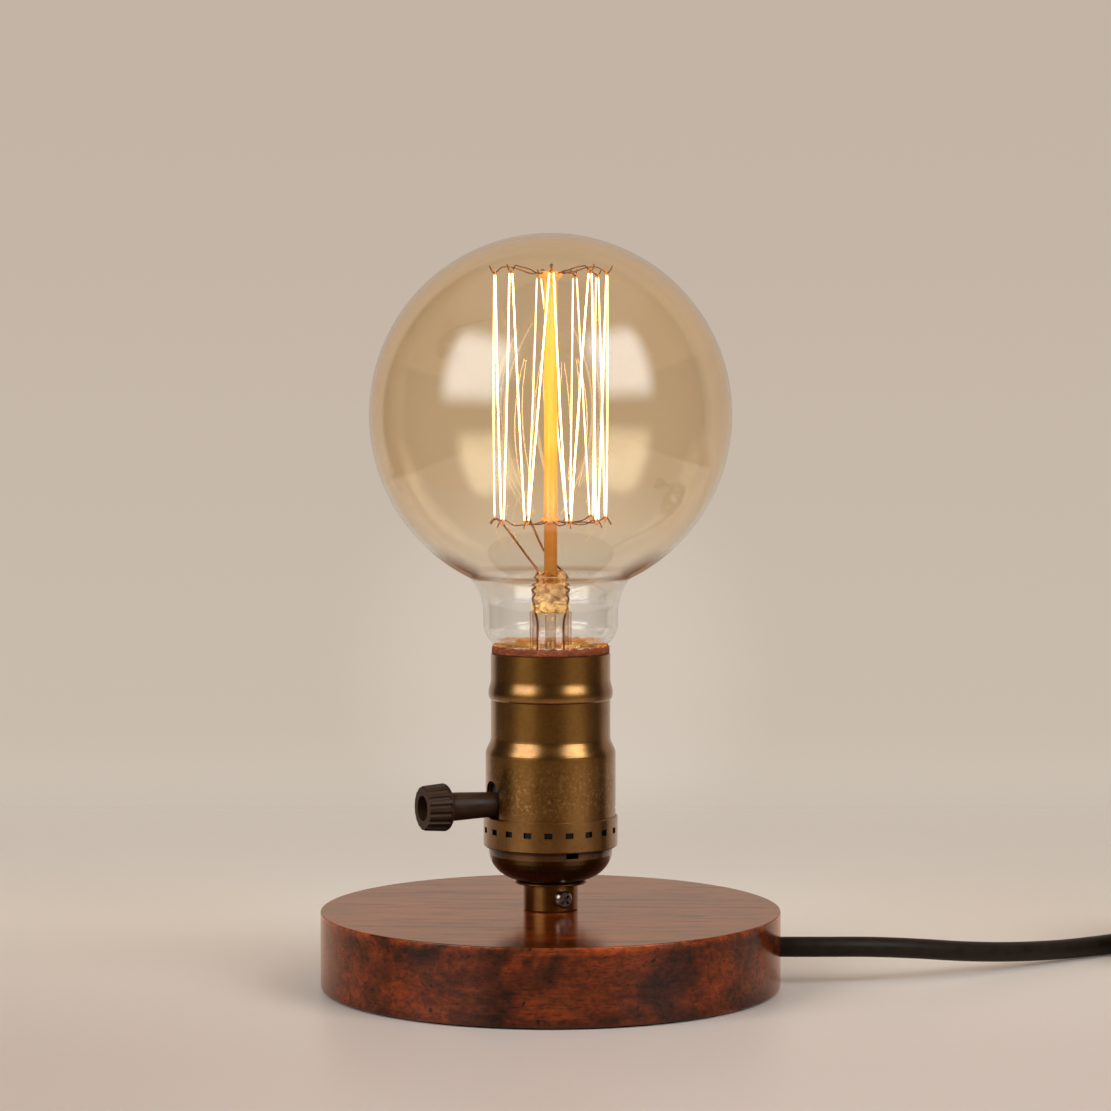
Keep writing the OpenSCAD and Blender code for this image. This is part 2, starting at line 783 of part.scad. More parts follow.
module line_leaf() {
    color("#cfae5e") rotate([0, 0, key_angle])
        translate([-1.5, room_w / 2 - leaf_t, key_axis - 4.5]) cube([5, leaf_t, 9]);
}

// The plate that a wire is screwed to, on the flat of the body
module wire_plate(side, top) {
    low = key_axis - 5.9;
    translate([-plate_w / 2, side > 0 ? flat_y : -flat_y - plate_t, low])
        cube([plate_w, plate_t, top - low]);
}

module plate_hole() {
    translate([0, -sleeve_r, key_axis]) rotate([-90, 0, 0])
        cylinder(r = wire_screw_r + slim, h = 2 * sleeve_r, $fn = 24);
}

module line_terminal() {
    color("#cfae5e") rotate([0, 0, key_angle]) difference() {
        wire_plate(1, key_axis + 5);
        plate_hole();
    }
}

module neutral_terminal() {
    color("#c8c8c4") rotate([0, 0, key_angle]) difference() {
        union() {
            ring(sleeve_r, 8, body_top, bracket_t);
            wire_plate(-1, bracket_top);
        }
        plate_hole();
        for (x = [-1, 1]) {
            translate([x * shell_rivet_x, 0, body_top - through])
                cylinder(r = rivet_r + slim, h = 3 * through, $fn = 24);
        }
    }
}

// A terminal screw whose tip stops at the wall of the switch's room
module wire_screw() {
    seat = flat_y + plate_t;
    tip = room_w / 2 + slim;
    difference() {
        union() {
            translate([0, 0, tip]) cylinder(r = wire_screw_r, h = seat - tip + 1, $fn = 24);
            translate([0, 0, seat]) cylinder(r = wire_head_r, h = wire_head_t);
        }
        translate([-wire_head_r - through, -0.5, seat + wire_head_t - 0.8])
            cube([2 * (wire_head_r + through), 1, 2]);
    }
}

module line_screw() {
    color("#c9a24b") sideways() wire_screw();
}

module neutral_screw() {
    color("#d3d3cf") sideways() rotate([180, 0, 0]) wire_screw();
}

// ---- Turn key -----------------------------------------------------------------------

module turn_knob() {
    wide = grip_wide_d / 2;
    slim_end = grip_d / 2;
    far = grip_r + grip_l;
    edge = 1;
    waist = 0.6;
    recess_r = 3.3;
    recess_t = 3;
    flute_r = 0.75;
    lean = atan2(wide - slim_end, grip_l - 2 * edge);
    color("#171717") on_key_axis() difference() {
        rotate_extrude() polygon(concat(
            [[shaft_d / 2 + slim, stem_in], [stem_d / 2, stem_in], [stem_wide_d / 2, grip_r - 2]],
            arc(stem_wide_d / 2 + waist, grip_r - waist - 0.4, waist, 180, 90, 4),
            arc(wide - edge, grip_r + edge, edge, -90, 0, 6),
            arc(slim_end - waist, far - waist, waist, 10, 90, 5),
            [[recess_r, far], [recess_r, far - recess_t], [0, far - recess_t],
             [0, shaft_out + slim], [shaft_d / 2 + slim, shaft_out + slim]]
        ));
        for (i = [0 : flutes - 1]) {
            rotate([0, 0, 360 * i / flutes]) translate([wide + 0.25, 0, grip_r + edge * 0.9])
                rotate([0, -lean, 0]) cylinder(r = flute_r, h = grip_l + through, $fn = 16);
        }
    }
}

module key_shaft() {
    color("#b9974c") on_key_axis() translate([0, 0, -room_far - bearing_l + 0.2])
        cylinder(d = shaft_d, h = shaft_out + room_far + bearing_l - 0.2, $fn = 48);
}

module switch_rotor() {
    notch_r = 1.2;
    color("#6b2f22") on_key_axis() difference() {
        translate([0, 0, -rotor_far]) cylinder(r = rotor_r, h = rotor_far + rotor_near);
        translate([0, 0, -rotor_far - through])
            cylinder(d = shaft_d + 2 * slim, h = rotor_far + rotor_near + 2 * through, $fn = 48);
        difference() {
            translate([0, 0, band_far]) cylinder(r = rotor_r + through, h = band_near - band_far);
            translate([0, 0, band_far - through])
                cylinder(r = rotor_r - band_t, h = band_near - band_far + 2 * through);
        }
        for (i = [0 : 3]) {
            rotate([0, 0, 90 * i + 45]) translate([rotor_r, 0, band_near])
                cylinder(r = notch_r, h = rotor_near, $fn = 24);
        }
    }
}

module rotor_bridge() {
    color("#cfae5e") on_key_axis() difference() {
        ring(rotor_r, rotor_r - band_t + slim, band_far + slim, band_near - band_far - 2 * slim);
        translate([0, -rotor_r - through, band_far - through])
            cube([rotor_r + through, 2 * (rotor_r + through), band_near + 2 * through]);
    }
}

// ---- Bulb ---------------------------------------------------------------------------

// The glass's curve from the top of the globe down into the screw cap, drawn in by w
function glass_curve(w) =
    let (meet = asin(hollow_drop / (globe_r + neck_fillet)), bend = shoulder_bend)
    concat(
        arc(0, globe_z, globe_r - w, 90, -meet, 36),
        arc(hollow_x, hollow_z, neck_fillet + w, 180 - meet, 180, 7),
        arc(neck_r - bend, neck_low, bend - w, 0, -60, 6),
        [[throat_r + 0.35 - w, throat_z + 0.6], [throat_r - w, throat_z - 0.2],
         [throat_r - w, glass_low]]
    );

module bulb_glass() {
    color("#d9a85c", 0.35) rotate_extrude($fn = 96)
        polygon(concat(glass_curve(0), reversed(glass_curve(glass_t))));
}

module stem_glass() {
    low = glass_low - 1;
    wall = stem_wall;
    wide = throat_r - slim;
    bore = exhaust_r - 0.6;
    taper = 3;
    color("#e8e4da", 0.5) {
        rotate_extrude() polygon([
            [wide - wall, low], [wide, low], [wide, glass_low], [wide - 1, glass_low],
            [stem_r + 1.5, low + 4], [stem_r, low + 8], [stem_r, pinch_low],
            [stem_r - wall, pinch_low], [stem_r - wall, low + 8], [stem_r + 1.5 - wall, low + 4]
        ]);
        translate([0, 0, pinch_low]) round_box(pinch_w, pinch_t, pinch_h, 1.6);
        translate([0, 0, pinch_low]) intersection() {
            cylinder(r1 = stem_r, r2 = stem_r - 1.5, h = taper);
            translate([-stem_r, -pinch_t / 2 - 1.2, 0]) cube([2 * stem_r, pinch_t + 2.4, taper]);
        }
        ring(exhaust_r, bore, foot_z + 8, pinch_low - foot_z - 8);
    }
}

module support_rod() {
    edge = 0.5;
    r = rod_d / 2;
    color("#e0a53c", 0.6) rotate_extrude($fn = 48) polygon([
        [0, pinch_top], [r, pinch_top], [r, cage_low - 1], [r + 0.35, cage_low - 0.6],
        [r + 0.35, cage_low + 0.6], [r, cage_low + 1], [r, rod_top - edge],
        [button_r - edge, rod_top - edge], [button_r, rod_top], [button_r, rod_top + button_t - edge],
        [button_r - edge, rod_top + button_t], [0, rod_top + button_t]
    ]);
}

// A straight wire out of the rod with its tip bent up or down
module hook(from, z, tip) {
    translate([0, 0, z]) {
        translate([from, 0, 0]) rotate([0, 90, 0]) cylinder(d = hook_d, h = hook_r - from, $fn = 16);
        translate([hook_r, 0, 0]) sphere(d = hook_d, $fn = 16);
        translate([hook_r, 0, min(0, tip)]) cylinder(d = hook_d, h = abs(tip), $fn = 16);
    }
}

module top_supports() {
    color("#5b3a26") for (a = top_hooks) {
        rotate([0, 0, a - 90]) hook(button_r + slim, cage_high, hook_tip);
    }
}

module bottom_supports() {
    color("#5b3a26") for (a = low_hooks) {
        rotate([0, 0, a - 90]) hook(rod_d / 2 + 0.4, cage_low, -hook_tip);
    }
}

function cage_point(a, r, z) = [r * sin(a), -r * cos(a), z];

// The bend of the filament over a top hook or under a bottom one
function filament_bend(a, z, up) =
    let (r = hook_d / 2 + 0.1 + filament_d / 2)
    [for (i = [0 : 4]) let (t = 180 - 45 * i)
        cage_point(a, cage_r, z) + r * cos(t) * [cos(a), sin(a), 0] + [0, 0, up * r * sin(t)]];

module filament() {
    inset = 0.6;
    path = concat(
        [cage_point(first_end, cage_r, cage_low + inset)],
        filament_bend(top_hooks[0], cage_high, 1),
        [for (i = [0 : len(low_hooks) - 1], half = [0, 1], p = half == 0
            ? filament_bend(low_hooks[i], cage_low, -1)
            : filament_bend(top_hooks[i + 1], cage_high, 1)) p],
        [cage_point(last_end, cage_r, cage_low + inset)]
    );
    color("#ffd27a") swept(path, filament_d, 6);
}

// A lead from its hook at the filament's end, down through the pinch
module lead(a, side, waist) {
    end = cage_point(a, cage_r, cage_low);
    tip = cage_point(a, cage_r + 1, cage_low);
    foot = side * 3.4;
    swept(smooth([
        tip + [0, 0, -0.9], end, end * 0.86 + [0, 0, (1 - 0.86) * cage_low - 0.8],
        [waist.x, waist.y, pinch_top + 5.5], [side * 3.7, waist.y / 6, pinch_top + 1],
        [side * 4.1, 0.1, pinch_top - 2.5], [side * 3.6, 0, pinch_top - 5],
        [side * 3.9, 0, pinch_low + 1.5], [foot, 0, pinch_low - 3], [foot, 0, pinch_low - 9],
        [foot, 0, pinch_low - 15], [foot, 0, glass_low - 4]
    ], 3), lead_d, 6);
}

module lead_wires() {
    color("#5b3a26") {
        lead(first_end, -1, [-6.4, 1.7]);
        lead(last_end, 1, [-1.2, 5.2]);
    }
}

module bulb_cap() {
    color("#c4a35a") threaded_ring(concat(
        [[insulator_r, cap_low, 0]],
        thread_wall(thread_root, cap_thread_low, cap_thread_high, 1),
        [[thread_root + cap_sheet, cap_rim - 0.4, 0], [thread_root + cap_sheet, cap_rim, 0],
         [thread_root, cap_rim, 0], [cap_in_r, cap_rim - 1.2, 0], [cap_in_r, cap_thread_low, 0],
         [insulator_r, cap_low + cap_sheet, 0]]
    ), thread_sides);
}

module basing_cement() {
    cement_h = glass_in_cap - 1.6;
    color("#d9cdb0") ring(cap_in_r - 0.15, throat_r + slim, glass_low, cement_h);
}

module cap_insulator() {
    low = foot_z + 0.6;
    color("#1a1414") rotate_extrude() polygon([
        [foot_r + run, low], [foot_r + 0.9, low], [insulator_r - 0.2, cap_low - slim],
        [insulator_r - 0.2, cap_low + 1.2],
        [2, cap_low + 1.2], [2, foot_z + foot_t + slim], [foot_r + run, foot_z + foot_t + slim]
    ]);
}

module foot_contact() {
    dome = 0.5;
    color("#b9b6ae") rotate_extrude() polygon([
        [0, foot_z], [foot_r - 1.6, foot_z], [foot_r, foot_z + dome], [foot_r, foot_z + foot_t],
        [0, foot_z + foot_t]
    ]);
}

// ---- Cord ---------------------------------------------------------------------------

module cord_run() {
    path = straight_ends(smooth(cord_route, 2), [1, 0, 0], [run_dir.x, run_dir.y, 0]);
    color("#161616") swept(path, cord_d, 8);
}

// Piled turns: in and out at a steady rate, climbing a layer where the spiral turns back
function coil_point(turned) =
    let (u = turned / layer_sweep,
         share = abs(u - 2 * floor(u / 2) - 1),
         r = coil_in + (coil_out - coil_in) * share,
         climbs = [for (k = [1 : coil_layers - 1]) ease((turned - k * layer_sweep + 90) / 180)],
         a = coil_start - turned)
    [coil_centre.x + r * cos(a), coil_centre.y + r * sin(a),
     coil_z + coil_pitch * (climbs * [for (c = climbs) 1])];

function coil_path() =
    let (count = ceil(coil_sweep / 360 * coil_rings),
         turns = [for (i = [0 : count]) coil_point(coil_sweep * i / count)])
    concat([route_last], turns, [turns[count] + cord_d * coil_way]);

// Least distance between two of the tube's own turns, less its diameter
function least_gap(p) =
    min([for (i = [0 : len(p) - 1], j = [i + 8 : 1 : len(p) - 1]) norm(p[i] - p[j])]) - cord_d;

module cord_coil() {
    path = coil_path();
    echo("least gap of the coil to itself", least_gap(path));
    color("#161616") swept(path, cord_d, 6);
}

module cord_tie() {
    inside = coil_in - cord_d / 2 - 1.4;
    outside = coil_out + cord_d / 2 + soft;
    top = coil_high + cord_d / 2 + soft;
    color("#2b2b2b") translate([coil_centre.x, coil_centre.y, 0]) rotate([0, 0, -90])
    translate([0, tie_w / 2, 0]) rotate([90, 0, 0]) linear_extrude(tie_w) difference() {
        translate([inside - tie_t, 0]) square([outside - inside + 2 * tie_t, top + tie_t]);
        translate([inside, tie_t]) square([outside - inside, top - tie_t]);
    }
}

module cord_end() {
    path = smooth([for (p = end_route) coil_last + p], 2);
    color("#161616") swept(straight_ends(path, coil_way, plug_way), cord_d, 8);
}

// Children drawn along +X lie along the plug, from its cord end
module at_plug() {
    translate(plug_at) rotate([0, 0, atan2(plug_way.y, plug_way.x)]) children();
}

module plug_relief() {
    color("#161616") at_plug() rotate([0, 90, 0]) rotate_extrude() polygon([
        [0, 0.02], [cord_d / 2 + 0.5, 0.02], [cord_d / 2 + 2.6, relief_l], [0, relief_l]
    ]);
}

module plug_body() {
    corner = 4;
    nose = 8;
    color("#161616") at_plug() translate([relief_l, 0, 0]) intersection() {
        rotate([90, 0, 90]) round_box(plug_w, plug_t, plug_l, corner);
        translate([0, 0, -plug_t]) linear_extrude(2 * plug_t) polygon([
            [0, -nose], [0, nose], [8, plug_w / 2 - 1], [14, plug_w / 2], [plug_l, plug_w / 2],
            [plug_l, -plug_w / 2], [14, -plug_w / 2], [8, 1 - plug_w / 2]
        ]);
    }
}

module plug_blades() {
    color("#c9c9c4") at_plug() translate([relief_l + plug_l, 0, 0]) for (y = [-1, 1]) {
        translate([0, y * blade_gap / 2, 0]) difference() {
            translate([0, -blade_t / 2, -blade_w / 2]) cube([blade_l, blade_t, blade_w]);
            translate([blade_l - blade_hole_in, -through - blade_t, 0]) rotate([-90, 0, 0])
                cylinder(r = blade_hole_r, h = 2 * (through + blade_t), $fn = 24);
        }
    }
}

wood_base();
base_pad();
threaded_tube();
flat_washer();
lock_washer();
hex_nut();
cord_clamp();
clamp_screws();
cord_tail();
line_wire();
neutral_wire();
cap_hub();
hub_screw();
socket_cap();
socket_shell();
insulating_liner();
socket_body();
screw_shell();
shell_rivets();
centre_contact();
contact_rivet();
switch_leaf();
line_leaf();
line_terminal();
neutral_terminal();
line_screw();
neutral_screw();
turn_knob();
key_shaft();
switch_rotor();
rotor_bridge();
bulb_glass();
stem_glass();
support_rod();
top_supports();
bottom_supports();
filament();
lead_wires();
bulb_cap();
basing_cement();
cap_insulator();
foot_contact();
cord_run();
cord_coil();
cord_tie();
cord_end();
plug_relief();
plug_body();
plug_blades();
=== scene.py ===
"""Finishes a bare bulb table lamp: stained block, brass lampholder, amber bulb and black cord."""

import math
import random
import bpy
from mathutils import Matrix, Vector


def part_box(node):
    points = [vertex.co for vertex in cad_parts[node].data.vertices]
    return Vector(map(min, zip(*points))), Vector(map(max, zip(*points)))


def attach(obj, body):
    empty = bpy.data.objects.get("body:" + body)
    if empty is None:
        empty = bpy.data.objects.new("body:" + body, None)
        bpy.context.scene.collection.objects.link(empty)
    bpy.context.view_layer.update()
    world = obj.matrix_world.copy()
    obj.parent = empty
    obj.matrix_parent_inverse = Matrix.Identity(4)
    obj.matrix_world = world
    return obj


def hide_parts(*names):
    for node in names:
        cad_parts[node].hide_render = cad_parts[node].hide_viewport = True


bl_info = {
    "name": "Bare bulb table lamp",
    "version": (1, 0, 0),
    "blender": (4, 5, 0),
    "location": "3D View > Sidebar > Lamp",
    "description": "Finishes and fine pieces of a bare bulb table lamp, over its packed model",
    "category": "Object",
}

import bmesh
import bpy
from bpy.props import FloatProperty, FloatVectorProperty, IntProperty, PointerProperty
from mathutils import Matrix, Vector, noise

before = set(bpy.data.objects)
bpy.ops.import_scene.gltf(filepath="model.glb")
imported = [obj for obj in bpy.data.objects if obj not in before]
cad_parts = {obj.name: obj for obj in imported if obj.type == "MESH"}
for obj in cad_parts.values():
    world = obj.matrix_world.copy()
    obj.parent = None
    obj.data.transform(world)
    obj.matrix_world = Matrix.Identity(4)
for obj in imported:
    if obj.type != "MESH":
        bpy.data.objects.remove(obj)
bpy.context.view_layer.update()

MM = 0.001
FULL_TURN = 2 * math.pi
LAMP, BULB = "lamp", "bulb"


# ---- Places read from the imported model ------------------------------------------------


def foot_of(node):
    """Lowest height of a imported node."""
    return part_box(node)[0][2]


def top_of(node):
    """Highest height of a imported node."""
    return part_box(node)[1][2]


def radius_of(node):
    """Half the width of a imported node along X."""
    low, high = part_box(node)
    return (high[0] - low[0]) / 2


def radius_at_top(node):
    """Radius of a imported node's top edge."""
    points = [v.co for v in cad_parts[node].data.vertices]
    top = max(p.z for p in points)
    return max(p.xy.length for p in points if p.z > top - 0.01 * MM)


BLOCK_TOP = top_of("wood_base")
BULB_FOOT_Z = foot_of("foot_contact")
CAP_RIM = top_of("bulb_cap")
GLASS_LOW = foot_of("bulb_glass")
GLASS_TOP = top_of("bulb_glass")
PINCH_TOP = foot_of("support_rod")
ROD_TOP = top_of("support_rod")
SHELL_TOP = top_of("socket_shell")
SLEEVE_TOP = top_of("insulating_liner")
SLEEVE_R = radius_at_top("insulating_liner")
RING_TOP = top_of("socket_cap")
RING_LOW = RING_TOP - 8.1 * MM
CREASE_Z = GLASS_TOP - 89.4 * MM
BOWL_LOW = foot_of("socket_cap")

PINCH_LOW = PINCH_TOP - 9.5 * MM
PINCH_H = 11 * MM
CAGE_R = 15.2 * MM
CAGE_LOW = PINCH_TOP + 14.6 * MM
CAGE_HIGH = GLASS_TOP - 10.4 * MM

# Hooks of the cage, degrees round the rod from the front towards the right, as in the source
TOP_HOOKS = (-72, -42, 1, 42, 74, 126, 155, 192)
LOW_HOOKS = (-55, -24, 18, 52, 108, 135, 162)
FIRST_END, LAST_END = -104, 204

# Route of the cord in metres, as in the source
CORD_ROUTE = (
    (0.0605, 0, 0.0102), (0.072, 0, 0.0102), (0.085, 0.0022, 0.0098), (0.098, 0.0075, 0.0084),
    (0.111, 0.015, 0.0064), (0.125, 0.0245, 0.0046), (0.141, 0.0365, 0.0032),
    (0.157, 0.0485, 0.0028), (0.167, 0.056, 0.0032), (0.177, 0.0635, 0.0036),
)
END_ROUTE = (
    (0, 0, 0), (0.004, -0.008, -0.0002), (0.007, -0.017, -0.0014), (0.0085, -0.027, -0.0046),
    (0.008, -0.037, -0.0088), (0.006, -0.047, -0.0126), (0.003, -0.057, -0.0146),
)
RUN_DIR = Vector((0.8, 0.6, 0))
PLUG_WAY = Vector((-0.28, -0.96, 0))


# ---- Settings -------------------------------------------------------------------------


def colour(name, description, default):
    """A colour property."""
    return FloatVectorProperty(
        name=name, description=description, subtype="COLOR", size=3, min=0, max=1, default=default
    )


def length(name, description, default):
    """A length property, in metres."""
    return FloatProperty(
        name=name, description=description, subtype="DISTANCE", unit="LENGTH", min=0,
        default=default, precision=5,
    )


def share(name, description, default, most=1):
    """A plain number from 0 up."""
    return FloatProperty(name=name, description=description, min=0, max=most, default=default)


class BlockSettings(bpy.types.PropertyGroup):
    """Finish of the wooden block."""

    light: colour("Light wood", "Colour of the wood where the stain is thin", (0.185, 0.040, 0.008))
    stain: colour("Stain", "Colour of the wood where the stain is thick", (0.018, 0.0055, 0.0015))
    # Worn wood: the lighter band along the top edge, partly stain rubbed thin and partly a painted
    # highlight
    worn: colour("Worn wood", "Colour of the rubbed edge of the top", (0.42, 0.102, 0.025))
    varnish_tint: colour("Varnish tint", "Tint that the varnish gives", (1.0, 0.57, 0.29))
    varnish: share("Varnish roughness", "Roughness of the satin varnish", 0.15)


class HolderSettings(bpy.types.PropertyGroup):
    """Finish of the lampholder."""

    brass: colour("Brass", "Colour of the satin brass", (0.35, 0.158, 0.030))
    tarnish: colour("Tarnish", "Colour of the darker patches on the brass", (0.22, 0.092, 0.016))
    satin: share("Brass roughness", "Roughness of the satin brass", 0.30)
    fibre: colour("Fibre", "Colour of the vulcanised fibre sleeve", (0.25, 0.062, 0.022))
    fray: length("Fray", "How far the sleeve's edge wanders up and down", 0.45 * MM)


class KeySettings(bpy.types.PropertyGroup):
    """Finish of the turn key."""

    plastic: colour("Plastic", "Colour of the moulded key", (0.032, 0.014, 0.006))
    gloss: share("Roughness", "Roughness of the moulded key", 0.40)


class BulbSettings(bpy.types.PropertyGroup):
    """Sizes and colours of the bulb."""

    globe_d: length("Globe diameter", "Diameter of the globe", 2 * radius_of("bulb_glass"))
    neck_d: length("Neck diameter", "Diameter of the straight neck", 35.4 * MM)
    neck_flare: length("Neck flare", "Radius of the hollow curve over the neck", 14 * MM)
    wall: length("Glass wall", "Thickness of the glass", 0.9 * MM)
    amber: colour("Amber", "Tint that one wall of the globe gives", (0.975, 0.87, 0.70))
    rim_amber: colour("Amber at the rim", "Tint of a wall that is seen edge on", (0.80, 0.60, 0.38))
    glow: colour("Glow", "Colour of the lit filament", (1.0, 0.62, 0.26))
    glow_power: share("Glow strength", "Strength of the lit filament", 22, 100)
    strand_d: length("Strand diameter", "Diameter of the filament as seen", 0.36 * MM)
    wire_d: length("Hook wire diameter", "Diameter of the hook wires", 0.36 * MM)
    lead_d: length("Lead diameter", "Diameter of the two leads", 0.6 * MM)


class CordSettings(bpy.types.PropertyGroup):
    """Sizes and finish of the cord."""

    cord_d: length("Cord diameter", "Diameter of the cord", 5.4 * MM)
    coil_r: length("Coil radius", "Radius at the middle of the coil's turns", 31 * MM)
    pitch: length("Coil pitch", "Spacing of the coil's turns", 5.9 * MM)
    loops: IntProperty(name="Loops", description="Whole turns in the coil", min=1, default=8)
    jacket: colour("Jacket", "Colour of the cord's jacket", (0.014, 0.0080, 0.0045))


class StageSettings(bpy.types.PropertyGroup):
    """Colours and lamps of the studio."""

    wall: colour("Wall", "Colour of the background", (0.548, 0.455, 0.376))
    low_wall: colour("Low wall", "Colour of the background near the floor", (0.585, 0.497, 0.41))
    low_glow: colour("Low glow", "Colour of the background below the wall", (0.603, 0.528, 0.446))
    ceiling: colour("Ceiling", "Colour of the room overhead", (0.36, 0.32, 0.28))
    far_floor: colour("Far floor", "Colour of the floor behind the lamp", (0.80, 0.70, 0.60))
    near_floor: colour("Near floor", "Colour of the floor in front of the lamp", (0.62, 0.50, 0.425))
    dark: colour("Dark side", "Colour of the room behind the camera", (0.055, 0.045, 0.036))
    box_left: share("Left softbox", "Mean radiance of the left softbox", 2.8, 50)
    box_right: share("Right softbox", "Mean radiance of the right softbox", 2.8, 50)


# ---- Helpers for shapes ---------------------------------------------------------------


def placed(name, data, make):
    """An object of a mesh or curve, in the scene, with the finish that a function makes."""
    data.materials.append(kept(make))
    piece = bpy.data.objects.new(name, data)
    bpy.context.scene.collection.objects.link(piece)
    return piece


def add_piece(name, bm, make, body):
    """Makes a named piece of a bmesh, smooth and with its faces outwards, riding on a body."""
    bmesh.ops.recalc_face_normals(bm, faces=bm.faces)
    for face in bm.faces:
        face.smooth = True
    mesh = bpy.data.meshes.new(name)
    bm.to_mesh(mesh)
    bm.free()
    piece = placed(name, mesh, make)
    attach(piece, body)
    return piece


def turned(outline, steps):
    """A bmesh turned round the lamp's axis from (radius, height) points."""
    bm = bmesh.new()
    points = [bm.verts.new((r, 0, z)) for r, z in outline]
    edges = [bm.edges.new(pair) for pair in zip(points, points[1:])]
    bmesh.ops.spin(
        bm, geom=points + edges, cent=(0, 0, 0), axis=(0, 0, 1), dvec=(0, 0, 0),
        angle=FULL_TURN, steps=steps, use_merge=True, use_normal_flip=False, use_duplicate=False,
    )
    bmesh.ops.remove_doubles(bm, verts=bm.verts, dist=0.002 * MM)
    return bm


def boxed(size, middle):
    """A bmesh of a box with this size and middle."""
    bm = bmesh.new()
    bmesh.ops.create_cube(bm, size=1)
    bmesh.ops.scale(bm, vec=size, verts=bm.verts)
    bmesh.ops.translate(bm, vec=middle, verts=bm.verts)
    return bm


def round_off(bm, edges, radius, segments, clamp=False):
    """Rounds edges off."""
    bmesh.ops.bevel(
        bm, geom=edges, offset=radius, offset_type="OFFSET", segments=segments, profile=0.5,
        affect="EDGES", material=-1, clamp_overlap=clamp,
    )


def arc(x, z, r, start, end, steps):
    """Points on an arc, from angle start to angle end in degrees."""
    angles = [math.radians(start + (end - start) * i / steps) for i in range(steps + 1)]
    return [(x + r * math.cos(a), z + r * math.sin(a)) for a in angles]


def smooth_path(points, steps):
    """A smooth line through the points, with steps between two of them."""
    line = []
    for i in range(len(points) - 1):
        a, b = points[max(i - 1, 0)], points[i]
        c, d = points[i + 1], points[min(i + 2, len(points) - 1)]
        for k in range(steps):
            t = k / steps
            bend = 2 * a - 5 * b + 4 * c - d + t * (3 * (b - c) + d - a)
            line.append(b + t / 2 * (c - a + t * bend))
    return [*line, points[-1]]


def add_wires(name, paths, diameter, make, body, sides=4):
    """Makes one piece of round wires that follow the given lines."""
    data = bpy.data.curves.new(name, "CURVE")
    data.dimensions = "3D"
    data.bevel_depth = diameter / 2
    data.bevel_resolution = sides
    data.use_fill_caps = True
    for path in paths:
        spline = data.splines.new("POLY")
        spline.points.add(len(path) - 1)
        for point, place in zip(spline.points, path):
            point.co = (*place, 1)
        spline.use_smooth = True
    piece = placed(name, data, make)
    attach(piece, body)
    return piece


# ---- Helpers for finishes -------------------------------------------------------------


def kept(make):
    """The finish that a function makes, made the first time it is asked for."""
    name = make.__name__.replace("_", " ") + " finish"
    return bpy.data.materials.get(name) or make(name)


def start_finish(name, **values):
    """A new finish and its main shader, with the shader's plain values set."""
    material = bpy.data.materials.new(name)
    material.use_nodes = True
    shader = main_shader(material)
    for key, value in values.items():
        shader.inputs[key.replace("_", " ")].default_value = value
    return material, shader


def add_node(material, kind, sockets=(), **settings):
    """Adds a node. sockets holds (name or number, value or output to link)."""
    node = material.node_tree.nodes.new(kind)
    for key, value in settings.items():
        setattr(node, key, value)
    for key, value in sockets:
        if isinstance(value, bpy.types.NodeSocket):
            material.node_tree.links.new(value, node.inputs[key])
        else:
            node.inputs[key].default_value = value
    return node


def link(material, output, socket):
    """Links an output to a socket."""
    material.node_tree.links.new(output, socket)


def place_on(material):
    """The piece's own coordinates."""
    return add_node(material, "ShaderNodeTexCoord").outputs["Object"]


def axes(material, place):
    """The X, Y and Z of a place."""
    return add_node(material, "ShaderNodeSeparateXYZ", [("Vector", place)]).outputs


def mapped(material, stretch, shift=(0, 0, 0)):
    """The piece's own coordinates, stretched to a pattern's size, in repeats a metre."""
    if not hasattr(stretch, "__len__"):
        stretch = (stretch, stretch, stretch)
    return add_node(
        material, "ShaderNodeMapping",
        [("Vector", place_on(material)), ("Scale", stretch), ("Location", shift)],
    ).outputs["Vector"]


def grain(material, stretch, detail=2, roughness=0.5, warp=0, shift=(0, 0, 0)):
    """A noise whose lumps are one over stretch metres long."""
    return add_node(
        material, "ShaderNodeTexNoise",
        [("Vector", mapped(material, stretch, shift)), ("Scale", 1), ("Detail", detail),
         ("Roughness", roughness), ("Distortion", warp)],
    ).outputs["Fac"]


def ramp(material, value, stops):
    """Colours along a value, from stops of (place, colour)."""
    node = add_node(material, "ShaderNodeValToRGB", [("Fac", value)])
    marks = node.color_ramp.elements
    marks[1].position, marks[0].position = stops[-1][0], stops[0][0]
    for place, _ in stops[1:-1]:
        marks.new(place)
    for mark, (_, tone) in zip(marks, stops):
        mark.color = (*tone, 1) if hasattr(tone, "__len__") else (tone, tone, tone, 1)
    return node.outputs["Color"]


def mixed(material, amount, one, other, blend="MIX"):
    """Two colours mixed by an amount."""
    node = add_node(material, "ShaderNodeMix", data_type="RGBA", blend_type=blend)
    for socket, value in ((0, amount), (6, one), (7, other)):
        if isinstance(value, bpy.types.NodeSocket):
            link(material, value, node.inputs[socket])
        elif hasattr(value, "__len__"):
            node.inputs[socket].default_value = (*value, 1)
        else:
            node.inputs[socket].default_value = value
    return node.outputs[2]


def sums(material, kind, one, other):
    """One plain sum of two values."""
    return add_node(
        material, "ShaderNodeMath", [(0, one), (1, other)], operation=kind
    ).outputs[0]


def times(material, one, other):
    """The product of two values."""
    return sums(material, "MULTIPLY", one, other)


def one_less(material, value):
    """One less the value."""
    return sums(material, "SUBTRACT", 1.0, value)


def away_from(material, value, middle):
    """How far the value is from the middle, on either side."""
    return sums(material, "ABSOLUTE", sums(material, "SUBTRACT", value, middle), 0.0)


def measure(material, kind, *vectors):
    """A number worked out from vectors: a length or a dot product."""
    return add_node(
        material, "ShaderNodeVectorMath", enumerate(vectors), operation=kind
    ).outputs["Value"]


